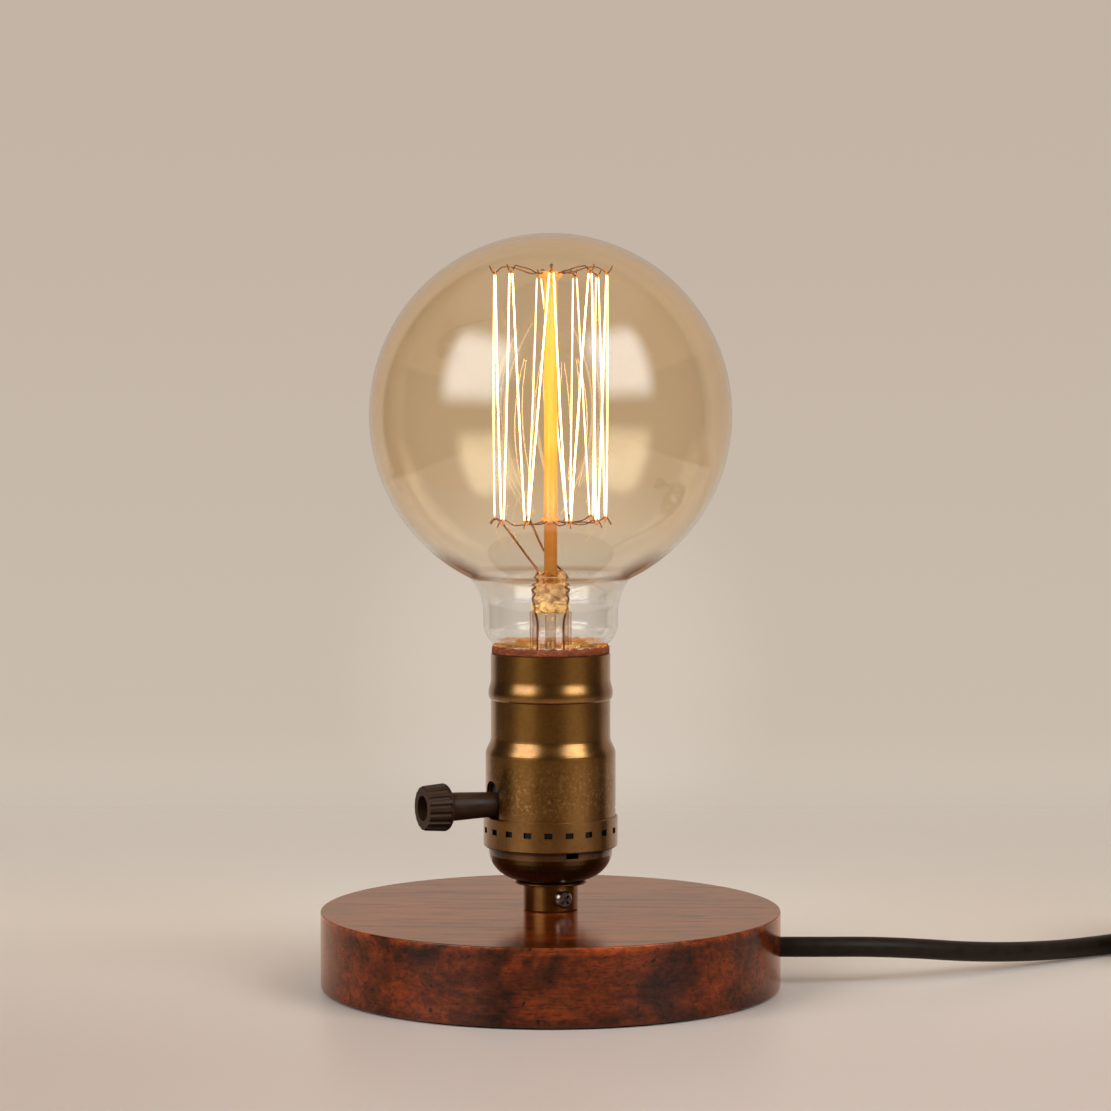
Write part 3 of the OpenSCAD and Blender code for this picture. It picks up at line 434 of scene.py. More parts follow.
def tinted(material, amount, tone, tint):
    """A colour with a tint laid over it by an amount."""
    return mixed(material, amount, tone, tint, "MULTIPLY")


def span(material, value, start, end):
    """0 where the value is start, 1 where it is end, with a smooth step between."""
    return add_node(
        material, "ShaderNodeMapRange", [("Value", value), ("From Min", start), ("From Max", end)],
        interpolation_type="SMOOTHSTEP",
    ).outputs["Result"]


def relief(material, height, depth, strength=1.0, below=None):
    """A bump of the given depth, on top of the bump below."""
    sockets = [("Height", height), ("Distance", depth), ("Strength", strength)]
    if below is not None:
        sockets.append(("Normal", below))
    return add_node(material, "ShaderNodeBump", sockets).outputs["Normal"]


def heights(material, low, high):
    """0 at height low and 1 at height high, on the piece's own coordinates."""
    z = axes(material, place_on(material))["Z"]
    return add_node(
        material, "ShaderNodeMapRange", [("Value", z), ("From Min", low), ("From Max", high)]
    ).outputs["Result"]


def from_axis(material):
    """Distance from the lamp's axis, on the piece's own coordinates."""
    flat = add_node(
        material, "ShaderNodeVectorMath", [(0, place_on(material)), (1, (1, 1, 0))],
        operation="MULTIPLY",
    ).outputs["Vector"]
    return measure(material, "LENGTH", flat)


def main_shader(material):
    """The finish's main shader."""
    return material.node_tree.nodes["Principled BSDF"]


def feed(material, shader, **values):
    """Links values to the shader's sockets of those names, and returns the finish."""
    for key, value in values.items():
        link(material, value, shader.inputs[key.replace("_", " ")])
    return material


def blended(material, amount, one, other):
    """Two shaders mixed by an amount."""
    return add_node(
        material, "ShaderNodeMixShader",
        [(0, amount), (1, one.outputs[0]), (2, other.outputs[0])],
    )


def show(material, shader):
    """Makes this shader the one that is seen, and returns the finish."""
    surface = material.node_tree.nodes["Material Output"].inputs["Surface"]
    link(material, shader.outputs[0], surface)
    return material


def edge_on(material):
    """0 where the surface is seen face on, 1 where it is seen edge on."""
    return add_node(material, "ShaderNodeLayerWeight", [("Blend", 0.5)]).outputs["Facing"]


def let_lamps_through(material, shader, tint):
    """Glass that casts a pale tinted shadow, because lamps shine straight through it."""
    shadow = add_node(material, "ShaderNodeLightPath").outputs["Is Shadow Ray"]
    clear = add_node(material, "ShaderNodeBsdfTransparent", [("Color", (*tint, 1))])
    return show(material, blended(material, shadow, shader, clear))


def plainly_seen(material):
    """1 for what the camera sees directly or through glass, 0 for light and mirror images."""
    path = add_node(material, "ShaderNodeLightPath")
    mirrored = sums(material, "MINIMUM", path.outputs["Glossy Depth"], 1.0)
    through = times(material, path.outputs["Is Transmission Ray"], one_less(material, mirrored))
    return sums(material, "MAXIMUM", path.outputs["Is Camera Ray"], through)


def dress(make, *nodes):
    """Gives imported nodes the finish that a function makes, in every slot that they have."""
    material = kept(make)
    for node in nodes:
        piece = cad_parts[node]
        if not piece.material_slots:
            piece.data.materials.append(material)
        for held in piece.material_slots:
            held.material = material


# ---- Finishes of the block ------------------------------------------------------------


def stained_wood(name):
    """Red-brown wood with a blotchy dark stain, fine grain along X and satin varnish."""
    look = bpy.context.scene.lamp_block
    light, stain = Vector(look.light), Vector(look.stain)
    material, shader = start_finish(
        name, Roughness=0.17, Specular_IOR_Level=0.2, Coat_Roughness=look.varnish,
        Coat_IOR=1.3, Coat_Tint=(*look.varnish_tint, 1),
    )
    blotches = grain(material, (42, 42, 60), detail=5, roughness=0.6, warp=0.7, shift=(5, 1, 3))
    streaks = grain(material, (8, 75, 60), detail=5, roughness=0.55, warp=0.8, shift=(2, 6, 1))
    streaks = sums(material, "ADD", times(material, streaks, 0.8), 0.08)
    face = heights(material, BLOCK_TOP - 0.25 * MM, BLOCK_TOP - 0.05 * MM)
    tone = ramp(material, mixed(material, face, blotches, streaks), [
        (0.36, stain), (0.45, light * 0.34), (0.53, light * 0.66), (0.66, light),
    ])
    # Lighter band along the top edge: partly stain rubbed thin, partly a painted highlight where the
    # edge catches the light
    worn = heights(material, BLOCK_TOP - 3.5 * MM, BLOCK_TOP)
    rubbed = ramp(material, worn, [(0.35, 0.0), (0.70, 0.5), (0.95, 1.0), (1.0, 0.2)])
    rubbed = times(material, rubbed, span(material, blotches, 0.34, 0.60))
    tone = mixed(material, rubbed, tone, tuple(look.worn))
    bands = grain(material, (7, 110, 170), detail=4, roughness=0.65, warp=0.9, shift=(3, 1, 7))
    tone = tinted(material, 0.6, tone, ramp(material, bands, [(0.34, 0.35), (0.62, 1.35)]))
    fibres = grain(material, (60, 800, 1100), detail=3, roughness=0.6, shift=(5, 0, 2))
    tone = tinted(material, 0.55, tone, ramp(material, fibres, [(0.36, 0.4), (0.56, 1.1)]))
    mottle = grain(material, (330, 420, 420), detail=3, roughness=0.65, warp=0.5, shift=(6, 2, 5))
    tone = tinted(material, 0.6, tone, ramp(material, mottle, [(0.38, 0.4), (0.6, 1.35)]))
    pores = grain(material, (240, 2400, 2400), detail=1, shift=(1, 9, 4))
    dashes = ramp(material, pores, [(0.60, 0.0), (0.68, 1.0)])
    tone = mixed(material, times(material, dashes, 0.6), tone, stain * 0.5)
    pits = grain(material, 520, detail=0, shift=(4, 4, 0))
    dents = ramp(material, pits, [(0.80, 0.0), (0.84, 0.8)])
    tone = mixed(material, dents, tone, stain * 0.4)
    # The varnish sinks in along the open fibres
    sunk = ramp(material, fibres, [(0.34, 0.12), (0.47, 0.72)])
    sunk = tinted(material, 1.0, sunk, ramp(material, bands, [(0.32, 0.55), (0.47, 1.0)]))
    ground = relief(material, pores, 0.05 * MM, 0.35)
    waves = grain(material, (26, 90, 90), detail=3, roughness=0.55, shift=(8, 8, 8))
    satin = relief(material, waves, 0.4 * MM, 0.05)
    return feed(
        material, shader, Base_Color=tone, Coat_Weight=sunk,
        Normal=relief(material, bands, 0.25 * MM, 0.16, ground),
        Coat_Normal=relief(material, dents, -0.1 * MM, 0.25, satin),
    )


def felt(name):
    """Black felt."""
    material, shader = start_finish(name, Roughness=0.95, Sheen_Weight=0.4)
    nap = grain(material, 900, detail=3, roughness=0.7)
    tone = ramp(material, nap, [(0.3, 0.012), (0.7, (0.04, 0.038, 0.036))])
    return feed(
        material, shader, Base_Color=tone, Normal=relief(material, nap, 0.2 * MM, 0.6)
    )


# ---- Finishes of the lampholder -------------------------------------------------------


def satin_brass(name):
    """Antique brass under clear lacquer: satin, with slow dark patches and small specks."""
    look = bpy.context.scene.lamp_holder
    brass, tarnish = Vector(look.brass), Vector(look.tarnish)
    material, shader = start_finish(
        name, Metallic=1.0, Coat_Weight=0.8, Coat_Roughness=0.20, Coat_IOR=1.4,
        Anisotropic=0.45, Anisotropic_Rotation=0.25
    )
    patches = grain(material, (85, 85, 60), detail=3, roughness=0.6, warp=0.4)
    tone = ramp(material, patches, [(0.34, tarnish), (0.62, brass)])
    specks = grain(material, 1500, detail=2, roughness=0.6)
    tone = tinted(material, 0.35, tone, ramp(material, specks, [(0.36, 0.55), (0.56, 1.0)]))
    lines = grain(material, (60, 60, 5200), detail=1)
    rough = add_node(
        material, "ShaderNodeMapRange",
        [("Value", patches), ("From Min", 0.3), ("From Max", 0.7),
         ("To Min", look.satin + 0.05), ("To Max", look.satin - 0.03)],
    )
    round_axis = add_node(material, "ShaderNodeTangent", direction_type="RADIAL", axis="Z")
    ground = relief(material, lines, 0.02 * MM, 0.10)
    return feed(
        material, shader, Base_Color=tone, Roughness=rough.outputs["Result"],
        Tangent=round_axis.outputs[0], Normal=relief(material, specks, 0.02 * MM, 0.12, ground),
    )


def shell_brass_with_painted_shade(name):
    """The same brass, with painted shade: near black and fully rough where the cap's ring covers it."""
    material = satin_brass(name)
    shader = main_shader(material)
    tone = shader.inputs["Base Color"].links[0].from_socket
    # Painted shade: near black, fully rough brass below the top of the cap's ring
    clear_of_painted_shade = heights(material, RING_TOP - 0.5 * MM, RING_TOP - 0.2 * MM)
    low_part = ramp(material, heights(material, RING_TOP, SHELL_TOP), [
        (0.02, 0.3), (0.1, 1.0), (0.30, 0.8), (0.38, 0.0),
    ])
    flecks = ramp(material, grain(material, 1100, 3, 0.7), [(0.52, 0.0), (0.64, 1.0)])
    pocks = ramp(material, grain(material, 800, 3, 0.7, shift=(3, 3, 3)), [
        (0.30, 0.35), (0.42, 1.0),
    ])
    worn = mixed(material, flecks, tinted(material, 1.0, tone, pocks), (0.55, 0.27, 0.08))
    tone = mixed(material, times(material, low_part, 0.75), tone, worn)
    rough = shader.inputs["Roughness"].links[0].from_socket
    return feed(
        material, shader, Base_Color=mixed(material, clear_of_painted_shade, (0.006, 0.003, 0.001), tone),
        Roughness=sums(material, "MAXIMUM", one_less(material, clear_of_painted_shade), rough),
    )


def bowl_brass_with_painted_shade(name):
    """The same brass with painted shade: darker towards the underside of the bowl, and a painted shadow
    line just under the ring.
    """
    material = satin_brass(name)
    shader = main_shader(material)
    tone = shader.inputs["Base Color"].links[0].from_socket
    # Painted shade: the bowl darkens towards its underside, and the dark band near the top is a painted
    # shadow under the ring
    dark = ramp(material, heights(material, BOWL_LOW, RING_LOW), [
        (0.0, (0.18, 0.32, 0.34)), (0.45, (0.26, 0.44, 0.44)), (0.80, (0.46, 0.44, 0.34)),
        (0.90, (0.36, 0.33, 0.24)), (0.95, 0.08), (0.99, 0.10), (1.0, 1.0),
    ])
    return feed(material, shader, Base_Color=tinted(material, 1.0, tone, dark))


def bare_metal(name, tone, rough):
    """Plain rolled or plated metal with slight stains."""
    material, shader = start_finish(name, Metallic=1.0)
    tone = Vector(tone)
    stains = grain(material, 260, detail=3, roughness=0.6)
    fine = grain(material, 1400, detail=2)
    return feed(
        material, shader, Base_Color=ramp(material, stains, [(0.3, tone * 0.7), (0.65, tone)]),
        Roughness=ramp(material, stains, [(0.3, rough + 0.12), (0.7, rough - 0.05)]),
        Normal=relief(material, fine, 0.02 * MM, 0.15),
    )


def nickel(name):
    """Bright nickel of screw heads."""
    return bare_metal(name, (0.55, 0.51, 0.46), 0.2)


def dark_nickel(name):
    """Nickel dulled brown by handling."""
    return bare_metal(name, (0.24, 0.19, 0.16), 0.20)


def zinc(name):
    """Zinc plated steel."""
    return bare_metal(name, (0.55, 0.55, 0.53), 0.34)


def contact_brass(name):
    """Bright rolled brass of the contacts and the screw thread."""
    return bare_metal(name, (0.74, 0.50, 0.20), 0.24)


def fibre(name):
    """Raw vulcanised fibre: red-brown, dull, with torn edges and pale flecks, and a painted orange glow
    on its inner face.
    """
    body = Vector(bpy.context.scene.lamp_holder.fibre)
    material, shader = start_finish(
        name, Roughness=0.85, Specular_IOR_Level=0.2, Emission_Strength=0.5
    )
    strands = grain(material, (500, 500, 1500), detail=4, roughness=0.7, warp=0.5)
    tone = ramp(material, strands, [
        (0.28, body * 0.28), (0.45, body * 0.75), (0.62, body * 1.15), (0.78, (0.55, 0.28, 0.17)),
    ])
    # Painted glow: the inner face of the sleeve shines orange as if lit by the bulb
    inside = span(material, from_axis(material), SLEEVE_R - 0.2 * MM, SLEEVE_R - 0.5 * MM)
    glow = ramp(material, strands, [(0.3, (0.35, 0.12, 0.012)), (0.7, (1.0, 0.55, 0.08))])
    return feed(
        material, shader, Base_Color=tone, Normal=relief(material, strands, 0.15 * MM, 0.8),
        Emission_Color=mixed(material, inside, (0, 0, 0), glow),
    )


def moulded(name, tone, rough, depth=0.03, shine=0.5):
    """Moulded plastic with a fine sparked surface."""
    material, shader = start_finish(name, Specular_IOR_Level=shine)
    tone = Vector(tone)
    spark = grain(material, 2200, detail=2, roughness=0.6)
    rubbed = grain(material, 240, detail=3, roughness=0.55)
    return feed(
        material, shader,
        Base_Color=ramp(material, rubbed, [(0.35, tone * 0.8), (0.65, tone * 1.3)]),
        Roughness=ramp(material, rubbed, [(0.3, rough - 0.06), (0.7, rough + 0.08)]),
        Normal=relief(material, spark, depth * MM, 0.3),
    )


def key_plastic(name):
    """Black plastic of the turn key."""
    look = bpy.context.scene.lamp_key
    return moulded(name, look.plastic, look.gloss, 0.05, 0.15)


def black_moulding(name):
    """Black insulating moulding."""
    return moulded(name, (0.02, 0.018, 0.017), 0.3)


def brown_moulding(name):
    """Brown insulating moulding of the switch's rotor."""
    return moulded(name, (0.13, 0.035, 0.02), 0.3)


def pale_moulding(name):
    """Pale moulded plastic."""
    return moulded(name, (0.68, 0.65, 0.58), 0.45)


def jacket(name):
    """Black jacket of the cord."""
    return moulded(name, bpy.context.scene.lamp_cord.jacket, 0.42, 0.06, 0.12)


def cement(name):
    """Golden basing cement, bright with the filament's light."""
    material = moulded(name, (0.62, 0.33, 0.07), 0.35, 0.2)
    shader = main_shader(material)
    spots = grain(material, 320, detail=3, roughness=0.6, warp=1)
    glow = ramp(material, spots, [
        (0.36, (0.16, 0.05, 0.004)), (0.5, (0.50, 0.22, 0.02)), (0.64, (1.0, 0.62, 0.12)),
    ])
    shader.inputs["Emission Strength"].default_value = 0.45
    return feed(material, shader, Emission_Color=glow)


# ---- Finishes of the bulb -------------------------------------------------------------


def amber_glass(name):
    """Clear glass whose amber tint is deeper edge on and fades out in the neck."""
    look = bpy.context.scene.lamp_bulb
    tint, rim = Vector(look.amber), Vector(look.rim_amber)
    material, shader = start_finish(
        name, Roughness=0.0, IOR=1.46, Transmission_Weight=1.0, Specular_IOR_Level=0.5
    )
    clear = Vector((0.985, 0.98, 0.97))
    facing = edge_on(material)
    deep = ramp(material, facing, [(0.45, 0.0), (0.8, 0.45), (1.0, 1.0)])
    tone = mixed(material, deep, tint, rim)
    coated = ramp(material, heights(material, CAP_RIM, GLASS_TOP), [
        (0.14, 0.0), (0.21, 0.35), (0.30, 0.75), (0.42, 1.0),
    ])
    tone = mixed(material, coated, clear, tone)
    z = axes(material, place_on(material))["Z"]
    crease = times(
        material, span(material, z, CREASE_Z - 0.5 * MM, CREASE_Z),
        span(material, z, CREASE_Z + 0.9 * MM, CREASE_Z + 0.1 * MM),
    )
    tone = tinted(material, crease, tone, (0.84, 0.71, 0.58))
    wobble = grain(material, (24, 24, 30), detail=1)
    feed(material, shader, Base_Color=tone, Normal=relief(material, wobble, 0.4 * MM, 0.03))
    # Thick glass in the corners of the crease, which looks like a brown wedge from the side: partly the
    # thick glass's tint, partly painted shade mixed in as a brown see-through layer
    wedge = times(
        material, span(material, z, CREASE_Z + 8 * MM, CREASE_Z + 2 * MM),
        span(material, z, CREASE_Z - 1.2 * MM, CREASE_Z),
    )
    corner = times(material, span(material, facing, 0.60, 0.80), wedge)
    brown = add_node(material, "ShaderNodeBsdfTransparent", [("Color", (0.66, 0.50, 0.38, 1))])
    both = blended(material, times(material, corner, 0.85), shader, brown)
    return let_lamps_through(material, both, tint)


def clear_glass(name):
    """Clear glass of the stem: see-through face on, brown and shining edge on."""
    material, shader = start_finish(name)
    facing = edge_on(material)
    tone = ramp(material, facing, [
        (0.0, (0.99, 0.97, 0.95)), (0.6, (0.95, 0.90, 0.86)), (0.85, (0.72, 0.60, 0.50)),
        (1.0, (0.45, 0.30, 0.20)),
    ])
    clear = add_node(material, "ShaderNodeBsdfTransparent", [("Color", tone)])
    shine = add_node(
        material, "ShaderNodeBsdfGlossy", [("Color", (1, 1, 1, 1)), ("Roughness", 0.02)]
    )
    much = ramp(material, facing, [(0.0, 0.04), (0.6, 0.07), (0.85, 0.25), (1.0, 0.7)])
    material.node_tree.nodes.remove(shader)
    return show(material, blended(material, much, clear, shine))


def pinched_glass_with_painted_glow(name):
    """Golden crinkled glass where the leads are pressed into the stem, with a painted glow of the
    filament's light, brightest low down.
    """
    material, shader = start_finish(
        name, Roughness=0.05, IOR=1.5, Transmission_Weight=1.0, Emission_Strength=0.36
    )
    crease = grain(material, (420, 420, 520), detail=3, roughness=0.6, warp=1.2)
    tone = ramp(material, crease, [
        (0.34, (0.30, 0.11, 0.03)), (0.46, (0.80, 0.52, 0.24)), (0.7, (0.97, 0.84, 0.60)),
    ])
    # Painted glow: emission that stands in for the filament's light carried down the glass, brightest
    # at the bottom of the pinch
    height = heights(material, PINCH_LOW, PINCH_LOW + PINCH_H)
    light = ramp(material, height, [
        (0.0, (0.95, 0.62, 0.14)), (0.28, (0.85, 0.50, 0.09)), (0.42, (0.40, 0.18, 0.04)),
        (0.8, (0.34, 0.15, 0.03)), (1.0, (0.50, 0.24, 0.04)),
    ])
    spots = ramp(material, crease, [(0.40, 0.05), (0.62, 1.1)])
    feed(
        material, shader, Base_Color=tone, Normal=relief(material, crease, 0.6 * MM, 0.8),
        Emission_Color=tinted(material, 1.0, light, spots),
    )
    return let_lamps_through(material, shader, (0.9, 0.7, 0.4))


def glowing_rod(name):
    """Glass rod that carries the filament's light: bright yellow above, brown below."""
    material, shader = start_finish(
        name, Roughness=0.08, IOR=1.5, Transmission_Weight=0.35, Emission_Strength=0.6
    )
    height = heights(material, PINCH_TOP, ROD_TOP)
    streaks = grain(material, (900, 900, 40), detail=2, roughness=0.5)
    body = ramp(material, height, [
        (0.0, (0.42, 0.20, 0.05)), (0.17, (0.50, 0.23, 0.06)), (0.30, (0.62, 0.33, 0.08)),
        (1.0, (0.62, 0.40, 0.12)),
    ])
    light = ramp(material, height, [
        (0.0, (0.05, 0.02, 0.004)), (0.155, (0.10, 0.04, 0.006)), (0.185, (0.46, 0.25, 0.09)),
        (0.24, (0.54, 0.34, 0.10)), (0.36, (0.58, 0.20, 0.01)), (0.44, (0.66, 0.44, 0.06)),
        (0.9, (0.68, 0.50, 0.10)), (1.0, (0.45, 0.18, 0.02)),
    ])
    light = tinted(material, 0.7, light, ramp(material, streaks, [(0.35, 0.45), (0.6, 1.15)]))
    return feed(material, shader, Base_Color=body, Emission_Color=light)


def lit_filament(name):
    """White-hot filament, creamier behind the rod, and dark where the hooks cool it."""
    look = bpy.context.scene.lamp_bulb
    material, shader = start_finish(
        name, Roughness=0.6, Base_Color=(0.2, 0.12, 0.05, 1), Emission_Strength=look.glow_power
    )
    along = axes(material, place_on(material))
    y, z = along["Y"], along["Z"]
    glow = Vector(look.glow)
    front = span(material, y, -3 * MM, -13 * MM)
    tone = mixed(material, front, (glow.x * 0.085, glow.y * 0.10, glow.z * 0.14), tuple(glow))
    hot = times(
        material, span(material, z, CAGE_LOW + 0.6 * MM, CAGE_LOW + 1.9 * MM),
        span(material, z, CAGE_HIGH - 0.5 * MM, CAGE_HIGH - 1.3 * MM),
    )
    tone = mixed(material, hot, (0.01, 0.003, 0.0), tone)
    # Painted reflection: the filament shines 2.6 times as bright in mirror images as it does seen
    # directly
    mirrored = add_node(material, "ShaderNodeLightPath").outputs["Is Glossy Ray"]
    tone = tinted(material, mirrored, tone, (2.6, 2.6, 2.6))
    return feed(material, shader, Emission_Color=tone)


def hook_wire(name):
    """Dark oxidised wire."""
    return bare_metal(name, (0.24, 0.10, 0.05), 0.45)


# ---- Stage ----------------------------------------------------------------------------

# The photograph's camera: lens in millimetres, place in metres, degrees from straight down
CAMERA_LENS = 106.28
CAMERA_PLACE = (0.00128, -0.8581, 0.1594)
CAMERA_PITCH = 86.94

LAMP_MIDDLE = Vector((0, 0, 0.13))
FLOOR_R = 14


def studio_floor(name):
    """Pale floor that keeps the lamp's shadow and fades into the background far behind it."""
    look = bpy.context.scene.lamp_stage
    material, shader = start_finish(name, Roughness=0.36, Specular_IOR_Level=0.3)
    place = place_on(material)
    along = axes(material, place)
    x, y = along["X"], along["Y"]
    tone = mixed(
        material, span(material, y, -0.12, 0.12), tuple(look.near_floor), tuple(look.far_floor)
    )
    # Painted shadow: the floor to the left of the lamp is darker
    left = times(material, span(material, x, 0.02, -0.13), span(material, y, 0.12, 0.03))
    tone = tinted(material, left, tone, (0.88, 0.86, 0.83))
    # Painted pool of light: the floor is a little lighter close round the lamp, fading out by 0.26 m
    reach = measure(material, "LENGTH", place)
    tone = tinted(material, span(material, reach, 0.26, 0.07), tone, (1.06, 1.07, 1.08))
    feed(material, shader, Base_Color=tone)

    seen = plainly_seen(material)
    past = sums(
        material, "MAXIMUM", span(material, away_from(material, x, 0.04), 0.38, 0.42),
        span(material, y, -0.26, -0.33),
    )
    dark = add_node(material, "ShaderNodeEmission", [("Color", (*look.dark, 1))])
    near = blended(material, times(material, one_less(material, seen), past), shader, dark)
    open_back = add_node(material, "ShaderNodeBsdfTransparent")
    gone = sums(
        material, "MAXIMUM", span(material, y, 0.12, 0.50),
        times(material, seen, span(material, reach, 0.45, 0.95)),
    )
    return show(material, blended(material, gone, near, open_back))


def add_studio_world():
    """A wall behind the lamp, lighter low down, and a dark room behind the camera."""
    look = bpy.context.scene.lamp_stage
    world = bpy.data.worlds.new("studio")
    bpy.context.scene.world = world
    world.use_nodes = True
    way = add_node(world, "ShaderNodeTexCoord").outputs["Generated"]
    height = axes(world, way)["Z"]
    wall = mixed(
        world, span(world, height, -0.10, 0.09), tuple(look.low_wall), tuple(look.wall)
    )
    wall = mixed(world, span(world, height, -0.095, -0.13), wall, tuple(look.low_glow))
    # A faint pool of light on the wall behind the lamp, 4.2 degrees in radius
    aim = measure(world, "DOT_PRODUCT", way, (0, 0.9962, -0.087))
    pool = span(world, aim, math.cos(math.radians(4.2)), 1.0)
    wall = mixed(world, pool, wall, (0.065, 0.065, 0.065), "ADD")
    # The wall ends 48 degrees to the left of the lamp and 65 degrees to the right
    square = measure(world, "DOT_PRODUCT", way, (0.148, 0.989, 0))
    behind = span(world, square, 0.50, 0.60)
    seen = plainly_seen(world)
    room = mixed(
        world, span(world, height, 0.62, 0.85), tuple(look.dark), tuple(look.ceiling)
    )
    tone = mixed(world, sums(world, "MAXIMUM", behind, seen), room, wall)
    link(world, tone, world.node_tree.nodes["Background"].inputs["Color"])


def add_softbox(name, side, rise, radiance, width, height=1.15, distance=1.25):
    """A softbox that faces the lamp, side degrees round from the camera and rise degrees up."""
    data = bpy.data.lights.new(name, "AREA")
    data.shape, data.size, data.size_y = "RECTANGLE", width, height
    data.color = (0.93, 1.0, 1.08)
    data.energy = radiance * math.pi * width * height
    data.use_nodes = True
    place = add_node(data, "ShaderNodeNewGeometry").outputs["Parametric"]
    across = axes(data, place)
    # Even in the middle and soft at the rim, with a mean of 1 over the whole front
    rim, mean = 0.3, 0.7
    glow = 1 / mean**2
    for axis in ("X", "Y"):
        glow = times(data, glow, span(data, away_from(data, across[axis], 0.5), 0.5, 0.5 - rim))
    link(data, glow, data.node_tree.nodes["Emission"].inputs["Strength"])
    box = bpy.data.objects.new(name, data)
    bpy.context.scene.collection.objects.link(box)
    a, e = math.radians(side), math.radians(rise)
    way = Vector((math.sin(a) * math.cos(e), -math.cos(a) * math.cos(e), math.sin(e)))
    box.location = LAMP_MIDDLE + way * distance
    box.rotation_euler = way.to_track_quat("Z", "Y").to_euler()
    box.visible_camera = False


def add_camera():
    """The photograph's camera."""
    data = bpy.data.cameras.new("camera")
    data.sensor_width, data.lens = 36, CAMERA_LENS
    data.clip_start, data.clip_end = 0.05, 60
    camera = bpy.data.objects.new("camera", data)
    camera.location = CAMERA_PLACE
    camera.rotation_euler = (math.radians(CAMERA_PITCH), 0, 0)
    bpy.context.scene.collection.objects.link(camera)
    bpy.context.scene.camera = camera


class LAMP_OT_stage(bpy.types.Operator):
    """Sets up the studio: floor, background, softboxes and camera"""

    bl_idname = "lamp.stage"
    bl_label = "Studio"

    def execute(self, context):
        look = context.scene.lamp_stage
        bm = bmesh.new()
        bmesh.ops.create_circle(bm, cap_ends=True, radius=FLOOR_R, segments=64)
        mesh = bpy.data.meshes.new("studio_floor")
        bm.to_mesh(mesh)
        bm.free()
        floor = placed("studio_floor", mesh, studio_floor)
        add_studio_world()
        add_softbox("softbox_left", -52, 28, look.box_left, 1.25)
        add_softbox("softbox_right", 50, 31, look.box_right, 1.1)
        add_camera()
        context.scene.view_settings.view_transform = "Standard"
        return {"FINISHED"}


# ---- Cord and plug --------------------------------------------------------------------


def ease(t):
    """A smooth step from 0 to 1."""
    return (1 - math.cos(math.pi * max(0, min(1, t)))) / 2


def coil_line(look):
    """The middle of the coil's turns, worked out as in the source, and the coil's centre."""
    d = look.cord_d
    start = math.pi - math.atan2(RUN_DIR.x, RUN_DIR.y)
    end, layers, rings, low = math.radians(30), 4, 24, 3.6 * MM
    sweep = start - end + FULL_TURN * look.loops
    layer_sweep = sweep / layers
    half = look.pitch * layer_sweep / FULL_TURN / 2
    outer, inner = look.coil_r + half, look.coil_r - half
    last = Vector(CORD_ROUTE[-1])
    centre = last + d * RUN_DIR + outer * Vector((RUN_DIR.y, -RUN_DIR.x, 0))
    count = math.ceil(sweep / FULL_TURN * rings) * 2
    points = []
    for i in range(count + 1):
        turned_by = sweep * i / count
        u = turned_by / layer_sweep
        r = inner + (outer - inner) * abs(u - 2 * math.floor(u / 2) - 1)
        climbs = [
            ease((turned_by - k * layer_sweep + math.pi / 2) / math.pi) for k in range(1, layers)
        ]
        a = start - turned_by
        points.append(Vector((
            centre.x + r * math.cos(a), centre.y + r * math.sin(a), low + look.pitch * sum(climbs)
        )))
    points.append(points[-1] + d * Vector((math.sin(end), -math.cos(end), 0)))
    return points, centre


class LAMP_OT_cord(bpy.types.Operator):
    """Lays the cord: out of the block, into its coil, and on to the plug, with the coil's strap"""

    bl_idname = "lamp.cord"
    bl_label = "Cord"

    def execute(self, context):
        look = context.scene.lamp_cord
        coil, centre = coil_line(look)
        run = smooth_path([Vector(p) for p in CORD_ROUTE], 5)
        end = smooth_path([coil[-1] + Vector(p) for p in END_ROUTE], 5)
        line = [*run, *coil, *end[1:]]
        cord = add_wires("cord", [line], look.cord_d, jacket, LAMP, sides=6)
        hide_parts("cord_run", "cord_coil", "cord_end")
        strap = self.add_strap(look, coil, centre)
        plug = add_plug(line[-1])
        return {"FINISHED"}

    def add_strap(self, look, coil, centre):
        """The woven strap, drawn round the turns that it holds, with rounded corners."""
        thick, width, r = 0.6 * MM, 10 * MM, look.cord_d / 2
        low, high = (Vector(corner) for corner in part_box("cord_tie"))
        middle = (low + high) / 2
        held = [
            p for p in coil
            if abs(p.x - middle.x) < width / 2 and (p.y - centre.y) * (middle.y - centre.y) > 0
        ]
        low.y = max(low.y, min(p.y for p in held) - r - thick)
        high.y = min(high.y, max(p.y for p in held) + r + thick)
        high.z = min(high.z, max(p.z for p in held) + r + thick)
        bm = boxed((width, high.y - low.y, high.z - low.z), (low + high) / 2)
        ends = [f for f in bm.faces if abs(f.normal.x) > 0.9]
        bmesh.ops.delete(bm, geom=ends, context="FACES_ONLY")
        corners = [e for e in bm.edges if not e.is_boundary]
        round_off(bm, corners, 3.2 * MM, 6)
        bmesh.ops.solidify(bm, geom=bm.faces, thickness=thick)
        strap = add_piece("coil_strap", bm, strap_weave, LAMP)
        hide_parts("cord_tie")
        return strap


def strap_weave(name):
    """Black woven strap."""
    material, shader = start_finish(name, Roughness=0.9, Sheen_Weight=0.08)
    weave = add_node(
        material, "ShaderNodeTexChecker",
        [("Vector", mapped(material, 1600)), ("Scale", 1.0)],
    ).outputs["Fac"]
    tone = ramp(material, weave, [(0.0, 0.008), (1.0, (0.026, 0.025, 0.024))])
    return feed(
        material, shader, Base_Color=tone, Normal=relief(material, weave, 0.1 * MM, 0.5)
    )


